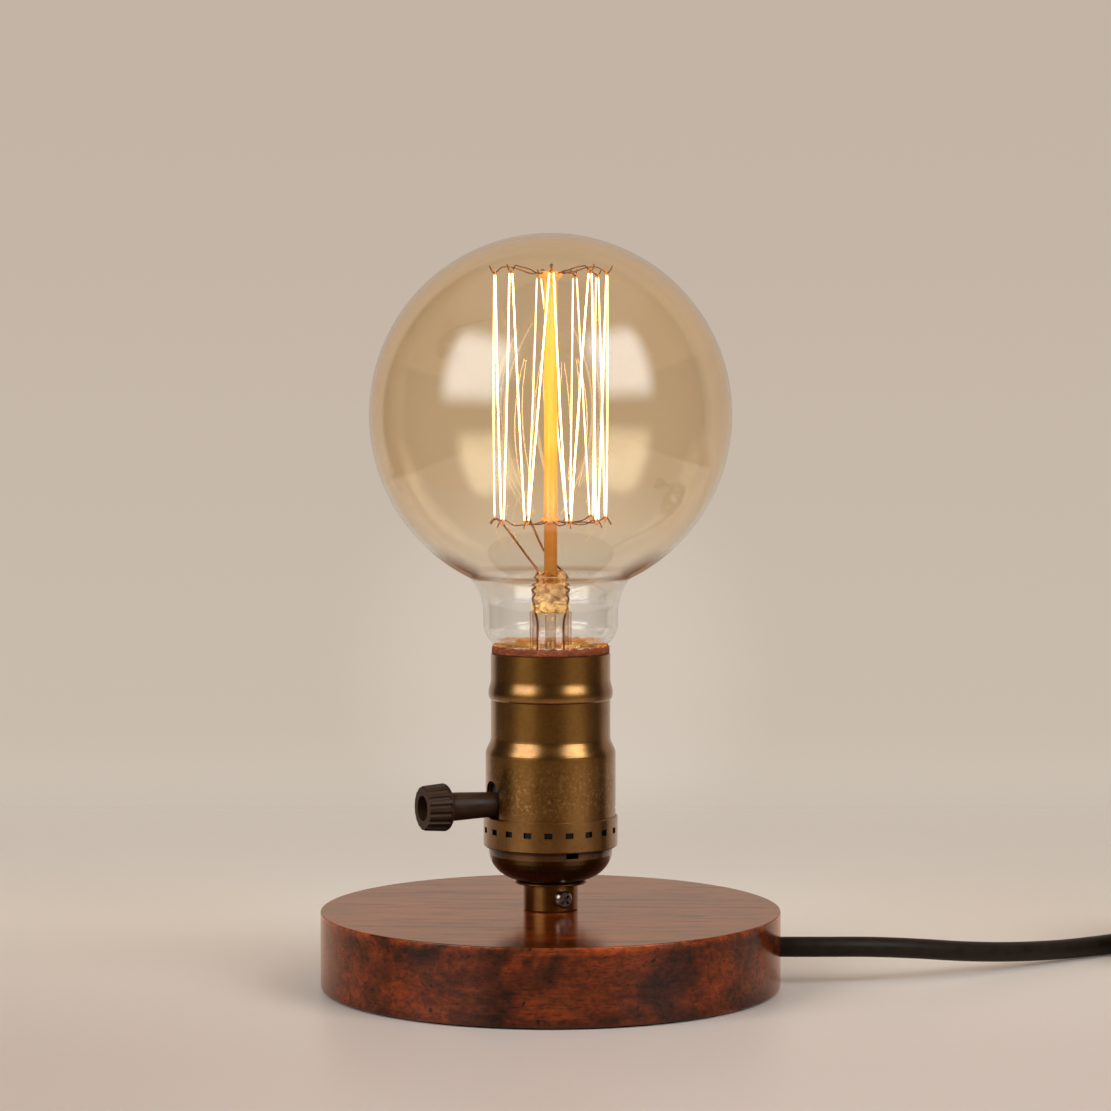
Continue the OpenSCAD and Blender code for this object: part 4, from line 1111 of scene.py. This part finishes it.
def add_plug(start):
    """The plug's ribbed strain relief and its rounded body, laid along the cord's end."""
    look = bpy.context.scene.lamp_cord
    lay = Matrix.Translation(start) @ PLUG_WAY.to_track_quat("X", "Z").to_matrix().to_4x4()
    relief_l, r, wide = 20 * MM, look.cord_d / 2, 2.1 * MM
    outline = [(0, 0), (r + 0.4 * MM, 0)]
    ribs = 7
    for i in range(ribs):
        z = relief_l * (i + 0.25) / ribs
        out = r + 0.5 * MM + wide * i / ribs
        outline += [(out, z), (out, z + 0.9 * MM), (out - 0.7 * MM, z + 1.3 * MM),
                    (out - 0.6 * MM, z + 2.0 * MM)]
    outline += [(r + wide, relief_l), (0, relief_l)]
    bm = turned(outline, 40)
    bmesh.ops.transform(bm, matrix=lay @ Matrix.Rotation(math.pi / 2, 4, "Y"), verts=bm.verts)
    ribbed = add_piece("plug_relief_ribs", bm, jacket, LAMP)
    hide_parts("plug_relief")

    long, width, thick, front = 34 * MM, 25 * MM, 13 * MM, 8 * MM
    bm = bmesh.new()
    bmesh.ops.create_grid(bm, x_segments=1, y_segments=1, size=0.5)
    bmesh.ops.scale(bm, vec=(long, width, 1), verts=bm.verts)
    bmesh.ops.translate(bm, vec=(relief_l + long / 2, 0, -thick / 2), verts=bm.verts)
    back = [v for v in bm.verts if v.co.x < relief_l + long / 2]
    for vert in back:
        vert.co.y = math.copysign(front, vert.co.y)
    sides = [e for e in bm.edges if abs(e.verts[0].co.x - e.verts[1].co.x) > long / 2]
    made = bmesh.ops.subdivide_edges(bm, edges=sides, cuts=1)
    middle = [v for v in made["geom_inner"] if isinstance(v, bmesh.types.BMVert)]
    for vert in middle:
        vert.co.x = relief_l + 11 * MM
        vert.co.y = math.copysign(width / 2, vert.co.y)
    made = bmesh.ops.extrude_face_region(bm, geom=bm.faces)
    raised = [v for v in made["geom"] if isinstance(v, bmesh.types.BMVert)]
    bmesh.ops.translate(bm, vec=(0, 0, thick), verts=raised)
    bmesh.ops.recalc_face_normals(bm, faces=bm.faces)
    sharp = [e for e in bm.edges if e.calc_face_angle(0) > 0.3]
    round_off(bm, sharp, 2.4 * MM, 6, clamp=True)
    bmesh.ops.transform(bm, matrix=lay, verts=bm.verts)
    body = add_piece("plug_moulding", bm, black_moulding, LAMP)
    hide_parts("plug_body")
    return [ribbed, body]


# ---- Block and lampholder -------------------------------------------------------------


class LAMP_OT_block(bpy.types.Operator):
    """Finishes the wooden block, its felt and the fastenings under it"""

    bl_idname = "lamp.block"
    bl_label = "Wooden block"

    def execute(self, context):
        dress(stained_wood, "wood_base")
        dress(felt, "base_pad")
        dress(zinc, "threaded_tube", "flat_washer", "lock_washer", "hex_nut", "clamp_screws")
        dress(pale_moulding, "cord_clamp", "neutral_wire")
        dress(jacket, "cord_tail")
        dress(black_moulding, "line_wire")
        return {"FINISHED"}


class LAMP_OT_holder(bpy.types.Operator):
    """Finishes the lampholder and adds its frayed fibre sleeve"""

    bl_idname = "lamp.holder"
    bl_label = "Lampholder"

    def execute(self, context):
        dress(satin_brass, "cap_hub")
        dress(bowl_brass_with_painted_shade, "socket_cap")
        dress(shell_brass_with_painted_shade, "socket_shell")
        dress(dark_nickel, "hub_screw")
        dress(nickel, "neutral_screw", "neutral_terminal")
        dress(zinc, "shell_rivets", "contact_rivet")
        dress(
            contact_brass, "screw_shell", "centre_contact", "switch_leaf", "line_leaf",
            "line_terminal", "line_screw",
        )
        dress(black_moulding, "socket_body")
        dress(fibre, "insulating_liner")
        self.add_frayed_lip(context.scene.lamp_holder)
        return {"FINISHED"}

    def add_frayed_lip(self, look):
        """The sleeve's torn edge: a rough rim that folds over it, with loose fibres."""
        low, high = SHELL_TOP + 0.03 * MM, SLEEVE_TOP + 0.2 * MM
        outer, inner = SLEEVE_R + 0.32 * MM, SLEEVE_R - 0.72 * MM
        outline = [
            (inner, low), (outer - 0.1 * MM, low), (outer, low + 0.5 * MM), (outer, low + 1.0 * MM),
            (outer - 0.08 * MM, high - 0.45 * MM), (outer - 0.3 * MM, high - 0.1 * MM),
            (outer - 0.55 * MM, high), (inner + 0.2 * MM, high - 0.05 * MM),
            (inner, high - 0.3 * MM), (inner, low),
        ]
        bm = turned(outline, 300)
        for vert in bm.verts:
            way = vert.co.xy.normalized()
            lift = max(0, (vert.co.z - low) / (high - low))
            rough = noise.noise(vert.co * 900) + 0.6 * noise.noise(vert.co * 2300)
            out = vert.co.xy.length > (outer + inner) / 2
            push = rough * (0.17 if out else 0.04) * MM * min(1, 3 * lift)
            vert.co.xy += way * push
            torn = noise.noise(Vector((*way, 0)) * 9) + 0.8 * noise.noise(Vector((*way, 3)) * 31)
            vert.co.z += torn * look.fray * lift**2
        lip = add_piece("frayed_lip", bm, fibre, LAMP)
        random.seed(3)
        paths = []
        for _ in range(90):
            a = random.uniform(0, FULL_TURN)
            way, side = Vector((math.cos(a), math.sin(a), 0)), Vector((-math.sin(a), math.cos(a), 0))
            root = way * (outer - random.uniform(0.1, 0.5) * MM)
            root.z = high - random.uniform(0.1, 0.9) * MM
            lean = way * random.uniform(-0.2, 0.55) + side * random.uniform(-1.2, 1.2)
            rise = Vector((0, 0, random.uniform(-0.1, 0.6)))
            paths.append([root, root + (lean + rise) * 0.5 * MM, root + (lean * 1.1 + rise * 0.7) * MM])
        loose = add_wires("loose_fibres", paths, 0.09 * MM, fibre, LAMP, sides=1)


class LAMP_OT_key(bpy.types.Operator):
    """Finishes the turn key and the switch's rotor"""

    bl_idname = "lamp.key"
    bl_label = "Turn key"

    def execute(self, context):
        dress(key_plastic, "turn_knob")
        dress(contact_brass, "key_shaft", "rotor_bridge")
        dress(brown_moulding, "switch_rotor")
        return {"FINISHED"}


# ---- Bulb -----------------------------------------------------------------------------


def globe_curve(look, inset):
    """The glass's outline from the top of the globe down into the cap, drawn in by inset."""
    globe_r, neck_r, flare, turn = look.globe_d / 2, look.neck_d / 2, look.neck_flare, 40
    crease_r = neck_r + flare * (1 - math.cos(math.radians(turn)))
    low = math.degrees(math.acos(crease_r / globe_r))
    globe_z = GLASS_TOP - globe_r
    flare_z = (
        globe_z - globe_r * math.sin(math.radians(low)) - flare * math.sin(math.radians(turn))
    )
    bend, throat_r, throat_z = 7 * MM, 11.3 * MM, CAP_RIM + 1.4 * MM
    neck_low = CAP_RIM + 9.2 * MM
    return [
        *arc(0, globe_z, globe_r - inset, 90, -low + 0.6, 72),
        *arc(neck_r + flare, flare_z, flare + inset, 180 - turn + 2, 180, 12),
        *arc(neck_r - bend, neck_low, bend - inset, 0, -60, 10),
        (throat_r + 0.35 * MM - inset, throat_z + 0.6 * MM),
        (throat_r - inset, throat_z - 0.2 * MM),
        (throat_r - inset, GLASS_LOW),
    ]


class LAMP_OT_globe(bpy.types.Operator):
    """Blows the amber globe and its clear neck"""

    bl_idname = "lamp.globe"
    bl_label = "Globe"

    def execute(self, context):
        look = context.scene.lamp_bulb
        outline = [*globe_curve(look, 0), *reversed(globe_curve(look, look.wall))]
        outline[0], outline[-1] = (0, outline[0][1]), (0, outline[-1][1])
        globe = add_piece("globe", turned(outline, 144), amber_glass, BULB)
        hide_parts("bulb_glass")
        return {"FINISHED"}


class LAMP_OT_mount(bpy.types.Operator):
    """Makes the glass mount: flared stem, exhaust tube, pinch and rod"""

    bl_idname = "lamp.mount"
    bl_label = "Glass mount"

    def execute(self, context):
        low, wide, r, wall = GLASS_LOW - 1 * MM, 11.25 * MM, 5.5 * MM, 0.7 * MM
        outside = [
            (wide, low), (wide, GLASS_LOW), (wide - 1 * MM, GLASS_LOW), (r + 1.5 * MM, low + 4 * MM),
            (r + 0.4 * MM, low + 6 * MM), (r, low + 8 * MM), (r, PINCH_LOW + 0.4 * MM),
        ]
        inside = [
            (r - wall, PINCH_LOW + 0.4 * MM), (r - wall, low + 8 * MM),
            (r + 1.5 * MM - wall, low + 4 * MM), (wide - wall, low), (wide, low),
        ]
        stem = add_piece("stem_tube", turned(outside + inside, 72), clear_glass, BULB)
        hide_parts("stem_glass")

        tube_r, foot = 1.4 * MM, BULB_FOOT_Z + 8 * MM
        outline = [(0, foot), (tube_r, foot), (tube_r, PINCH_LOW), (0, PINCH_LOW)]
        tube = add_piece("exhaust_tube", turned(outline, 32), clear_glass, BULB)
        self.add_pinch()
        self.add_rod()
        return {"FINISHED"}

    def add_pinch(self):
        """The pressed end of the stem, crinkled where the pliers held it."""
        middle = Vector((0, 0, PINCH_LOW + PINCH_H / 2))
        bm = boxed((9.8 * MM, 5.4 * MM, PINCH_H), middle)
        round_off(bm, bm.edges[:], 1.3 * MM, 3)
        bmesh.ops.triangulate(bm, faces=bm.faces)
        bmesh.ops.subdivide_edges(bm, edges=bm.edges[:], cuts=5, use_grid_fill=True)
        for vert in bm.verts:
            dent = noise.noise(vert.co * 420) + 0.5 * noise.noise(vert.co * 900)
            vert.co -= (vert.co - middle).normalized() * max(dent, -0.2) * 0.8 * MM
            drawn = max(0, (vert.co.z - middle.z) / PINCH_H)
            vert.co.x *= 1 - 0.45 * drawn
        pinch = add_piece("pinch", bm, pinched_glass_with_painted_glow, BULB)

    def add_rod(self):
        """The rod with its two buttons, into which the hooks are sealed."""
        r, button, high = 1.75 * MM, 3.2 * MM, ROD_TOP - 2 * MM
        outline = [
            (0, PINCH_TOP), (r + 0.5 * MM, PINCH_TOP), (r + 0.1 * MM, PINCH_TOP + 0.9 * MM),
            (r, PINCH_TOP + 1.6 * MM), (r, CAGE_LOW - 1.4 * MM),
            *arc(r - 0.1 * MM, CAGE_LOW, 0.9 * MM, -70, 70, 8), (r, CAGE_LOW + 1.4 * MM),
            (r, high - 0.6 * MM), (r + 0.5 * MM, high - 0.2 * MM),
            *arc(button - 0.9 * MM, high + 0.9 * MM, 0.9 * MM, -80, 90, 10),
            (0, ROD_TOP - 0.15 * MM),
        ]
        rod = add_piece("rod", turned(outline, 48), glowing_rod, BULB)
        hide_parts("support_rod")


def round_rod(angle, r, z):
    """A point round the rod, angle degrees from the front towards the right."""
    a = math.radians(angle)
    return Vector((r * math.sin(a), -r * math.cos(a), z))


class LAMP_OT_cage(bpy.types.Operator):
    """Strings the filament over its hooks and adds the two leads"""

    bl_idname = "lamp.cage"
    bl_label = "Filament cage"

    def execute(self, context):
        look = context.scene.lamp_bulb
        random.seed(7)
        self.add_hooks(look)
        self.add_filament(look)
        self.add_leads(look)
        return {"FINISHED"}

    def add_hooks(self, look):
        """Thin wavy hook wires: the upper tips turn up and the lower ones down."""
        upper = [
            (3.0, 0.0), (5.5, 0.1), (8.5, 0.9), (11.5, 1.5), (13.3, 1.3), (14.7, 0.1),
            (15.5, -0.1), (16.2, 0.7), (16.6, 1.7),
        ]
        lower = [
            (2.0, 0.0), (5.5, -0.5), (9.0, -0.7), (12.0, -0.5), (14.0, 0.4), (15.2, 0.9),
            (16.0, 0.1), (16.8, -1.2),
        ]
        for name, hooks, z, shape, node in (
            ("top_hooks", TOP_HOOKS, CAGE_HIGH, upper, "top_supports"),
            ("low_hooks", LOW_HOOKS, CAGE_LOW, lower, "bottom_supports"),
        ):
            paths = []
            for angle in hooks:
                points = []
                for r, rise in shape:
                    free = 0 if r < 4 or r > 14 else 1
                    swing = random.uniform(-2.2, 2.2) * free
                    lift = random.uniform(-0.3, 0.3) * free
                    points.append(round_rod(angle + swing, r * MM, z + (rise + lift) * MM))
                paths.append(smooth_path(points, 4))
            wires = add_wires(name, paths, look.wire_d, hook_wire, BULB, sides=2)
            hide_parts(node)

    def bend(self, angle, z, up):
        """The filament's turn over an upper hook or under a lower one."""
        middle, r, steps = round_rod(angle, CAGE_R, z), 0.52 * MM, 6
        side, rise = round_rod(angle + 90, 1, 0), Vector((0, 0, up))
        halves = [math.pi * k / steps for k in range(steps + 1)]
        return [middle + r * (math.cos(t) * -side + math.sin(t) * rise) for t in halves]

    def add_filament(self, look):
        """One long strand, strung up and down between the hooks."""
        turns = [(TOP_HOOKS[0], CAGE_HIGH, 1)]
        for i, angle in enumerate(LOW_HOOKS):
            turns += [(angle, CAGE_LOW, -1), (TOP_HOOKS[i + 1], CAGE_HIGH, 1)]
        line = [round_rod(FIRST_END, CAGE_R, CAGE_LOW + 0.6 * MM)]
        for angle, z, up in turns:
            bend = self.bend(angle, z, up)
            line += self.strand(line[-1], bend[0]) + bend
        end = round_rod(LAST_END, CAGE_R, CAGE_LOW + 0.6 * MM)
        line += self.strand(line[-1], end) + [end]
        strands = add_wires(
            "filament_strands", [line], look.strand_d, lit_filament, BULB, sides=3
        )
        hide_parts("filament")

    def strand(self, start, end):
        """Points on a strand, bowed very slightly."""
        bow = Vector((random.uniform(-0.25, 0.25), random.uniform(-0.25, 0.25), 0)) * MM
        steps = 8
        return [
            start.lerp(end, k / steps) + bow * math.sin(math.pi * k / steps)
            for k in range(1, steps)
        ]

    def add_leads(self, look):
        """The two leads from the ends of the filament down through the pinch."""
        paths = []
        for angle, side, waist in ((FIRST_END, -1, (-6.4, 1.7)), (LAST_END, 1, (-1.2, 5.2))):
            tip = round_rod(angle, CAGE_R + 1.1 * MM, CAGE_LOW - 0.9 * MM)
            top = round_rod(angle, CAGE_R, CAGE_LOW + 0.3 * MM)
            near = round_rod(angle, CAGE_R * 0.86, CAGE_LOW - 0.8 * MM)
            down = [
                (waist[0], waist[1], 5.5), (side * 3.3, waist[1] / 6 - 1, 1.2),
                (side * 4.6, -2.0, -0.8), (side * 3.9, -2.6, -2.0), (side * 4.8, -2.3, -3.0),
                (side * 4.1, -2.6, -4.1), (side * 4.7, -2.2, -5.4), (side * 4.2, -1.6, -7.2),
                (side * 4.0, -0.6, -9.2), (side * 3.4, 0, -12.5),
                (side * 3.5, 0, -18.5), (side * 3.4, 0, -24.5), (side * 3.4, 0, -30.0),
            ]
            points = [tip, top, near, *[Vector((x, y, 0)) * MM + Vector((0, 0, PINCH_TOP + z * MM))
                                        for x, y, z in down]]
            paths.append(smooth_path(points, 5))
        leads = add_wires("leads", paths, look.lead_d, hook_wire, BULB)
        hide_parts("lead_wires")


class LAMP_OT_cap(bpy.types.Operator):
    """Finishes the bulb's screw cap"""

    bl_idname = "lamp.cap"
    bl_label = "Screw cap"

    def execute(self, context):
        dress(contact_brass, "bulb_cap")
        dress(cement, "basing_cement")
        dress(black_moulding, "cap_insulator")
        dress(nickel, "foot_contact")
        return {"FINISHED"}


# ---- Panel and registration -----------------------------------------------------------

SETTINGS = (
    ("lamp_block", BlockSettings), ("lamp_holder", HolderSettings), ("lamp_key", KeySettings),
    ("lamp_bulb", BulbSettings), ("lamp_cord", CordSettings), ("lamp_stage", StageSettings),
)
OPERATORS = (
    LAMP_OT_stage, LAMP_OT_cord, LAMP_OT_block, LAMP_OT_holder, LAMP_OT_key, LAMP_OT_globe,
    LAMP_OT_mount, LAMP_OT_cage, LAMP_OT_cap,
)


class LAMP_PT_panel(bpy.types.Panel):
    """The lamp's settings and its making, step by step"""

    bl_idname = "LAMP_PT_panel"
    bl_label = "Bare bulb table lamp"
    bl_space_type = "VIEW_3D"
    bl_region_type = "UI"
    bl_category = "Lamp"

    def draw(self, context):
        for name, group in SETTINGS:
            box = self.layout.box()
            for key in group.__annotations__:
                box.prop(getattr(context.scene, name), key)
        for operator in OPERATORS:
            self.layout.operator(operator.bl_idname)


def register():
    """Registers the settings, the operators and the panel."""
    for name, group in SETTINGS:
        bpy.utils.register_class(group)
        setattr(bpy.types.Scene, name, PointerProperty(type=group))
    for operator in OPERATORS:
        bpy.utils.register_class(operator)
    bpy.utils.register_class(LAMP_PT_panel)


def unregister():
    """Takes the panel, the operators and the settings away again."""
    bpy.utils.unregister_class(LAMP_PT_panel)
    for operator in reversed(OPERATORS):
        bpy.utils.unregister_class(operator)
    for name, group in reversed(SETTINGS):
        delattr(bpy.types.Scene, name)
        bpy.utils.unregister_class(group)


def main():
    """Builds the scene step by step."""
    register()
    for operator in OPERATORS:
        step = operator.bl_idname.split(".")[1]
        getattr(bpy.ops.lamp, step)()


if __name__ == "__main__":
    main()
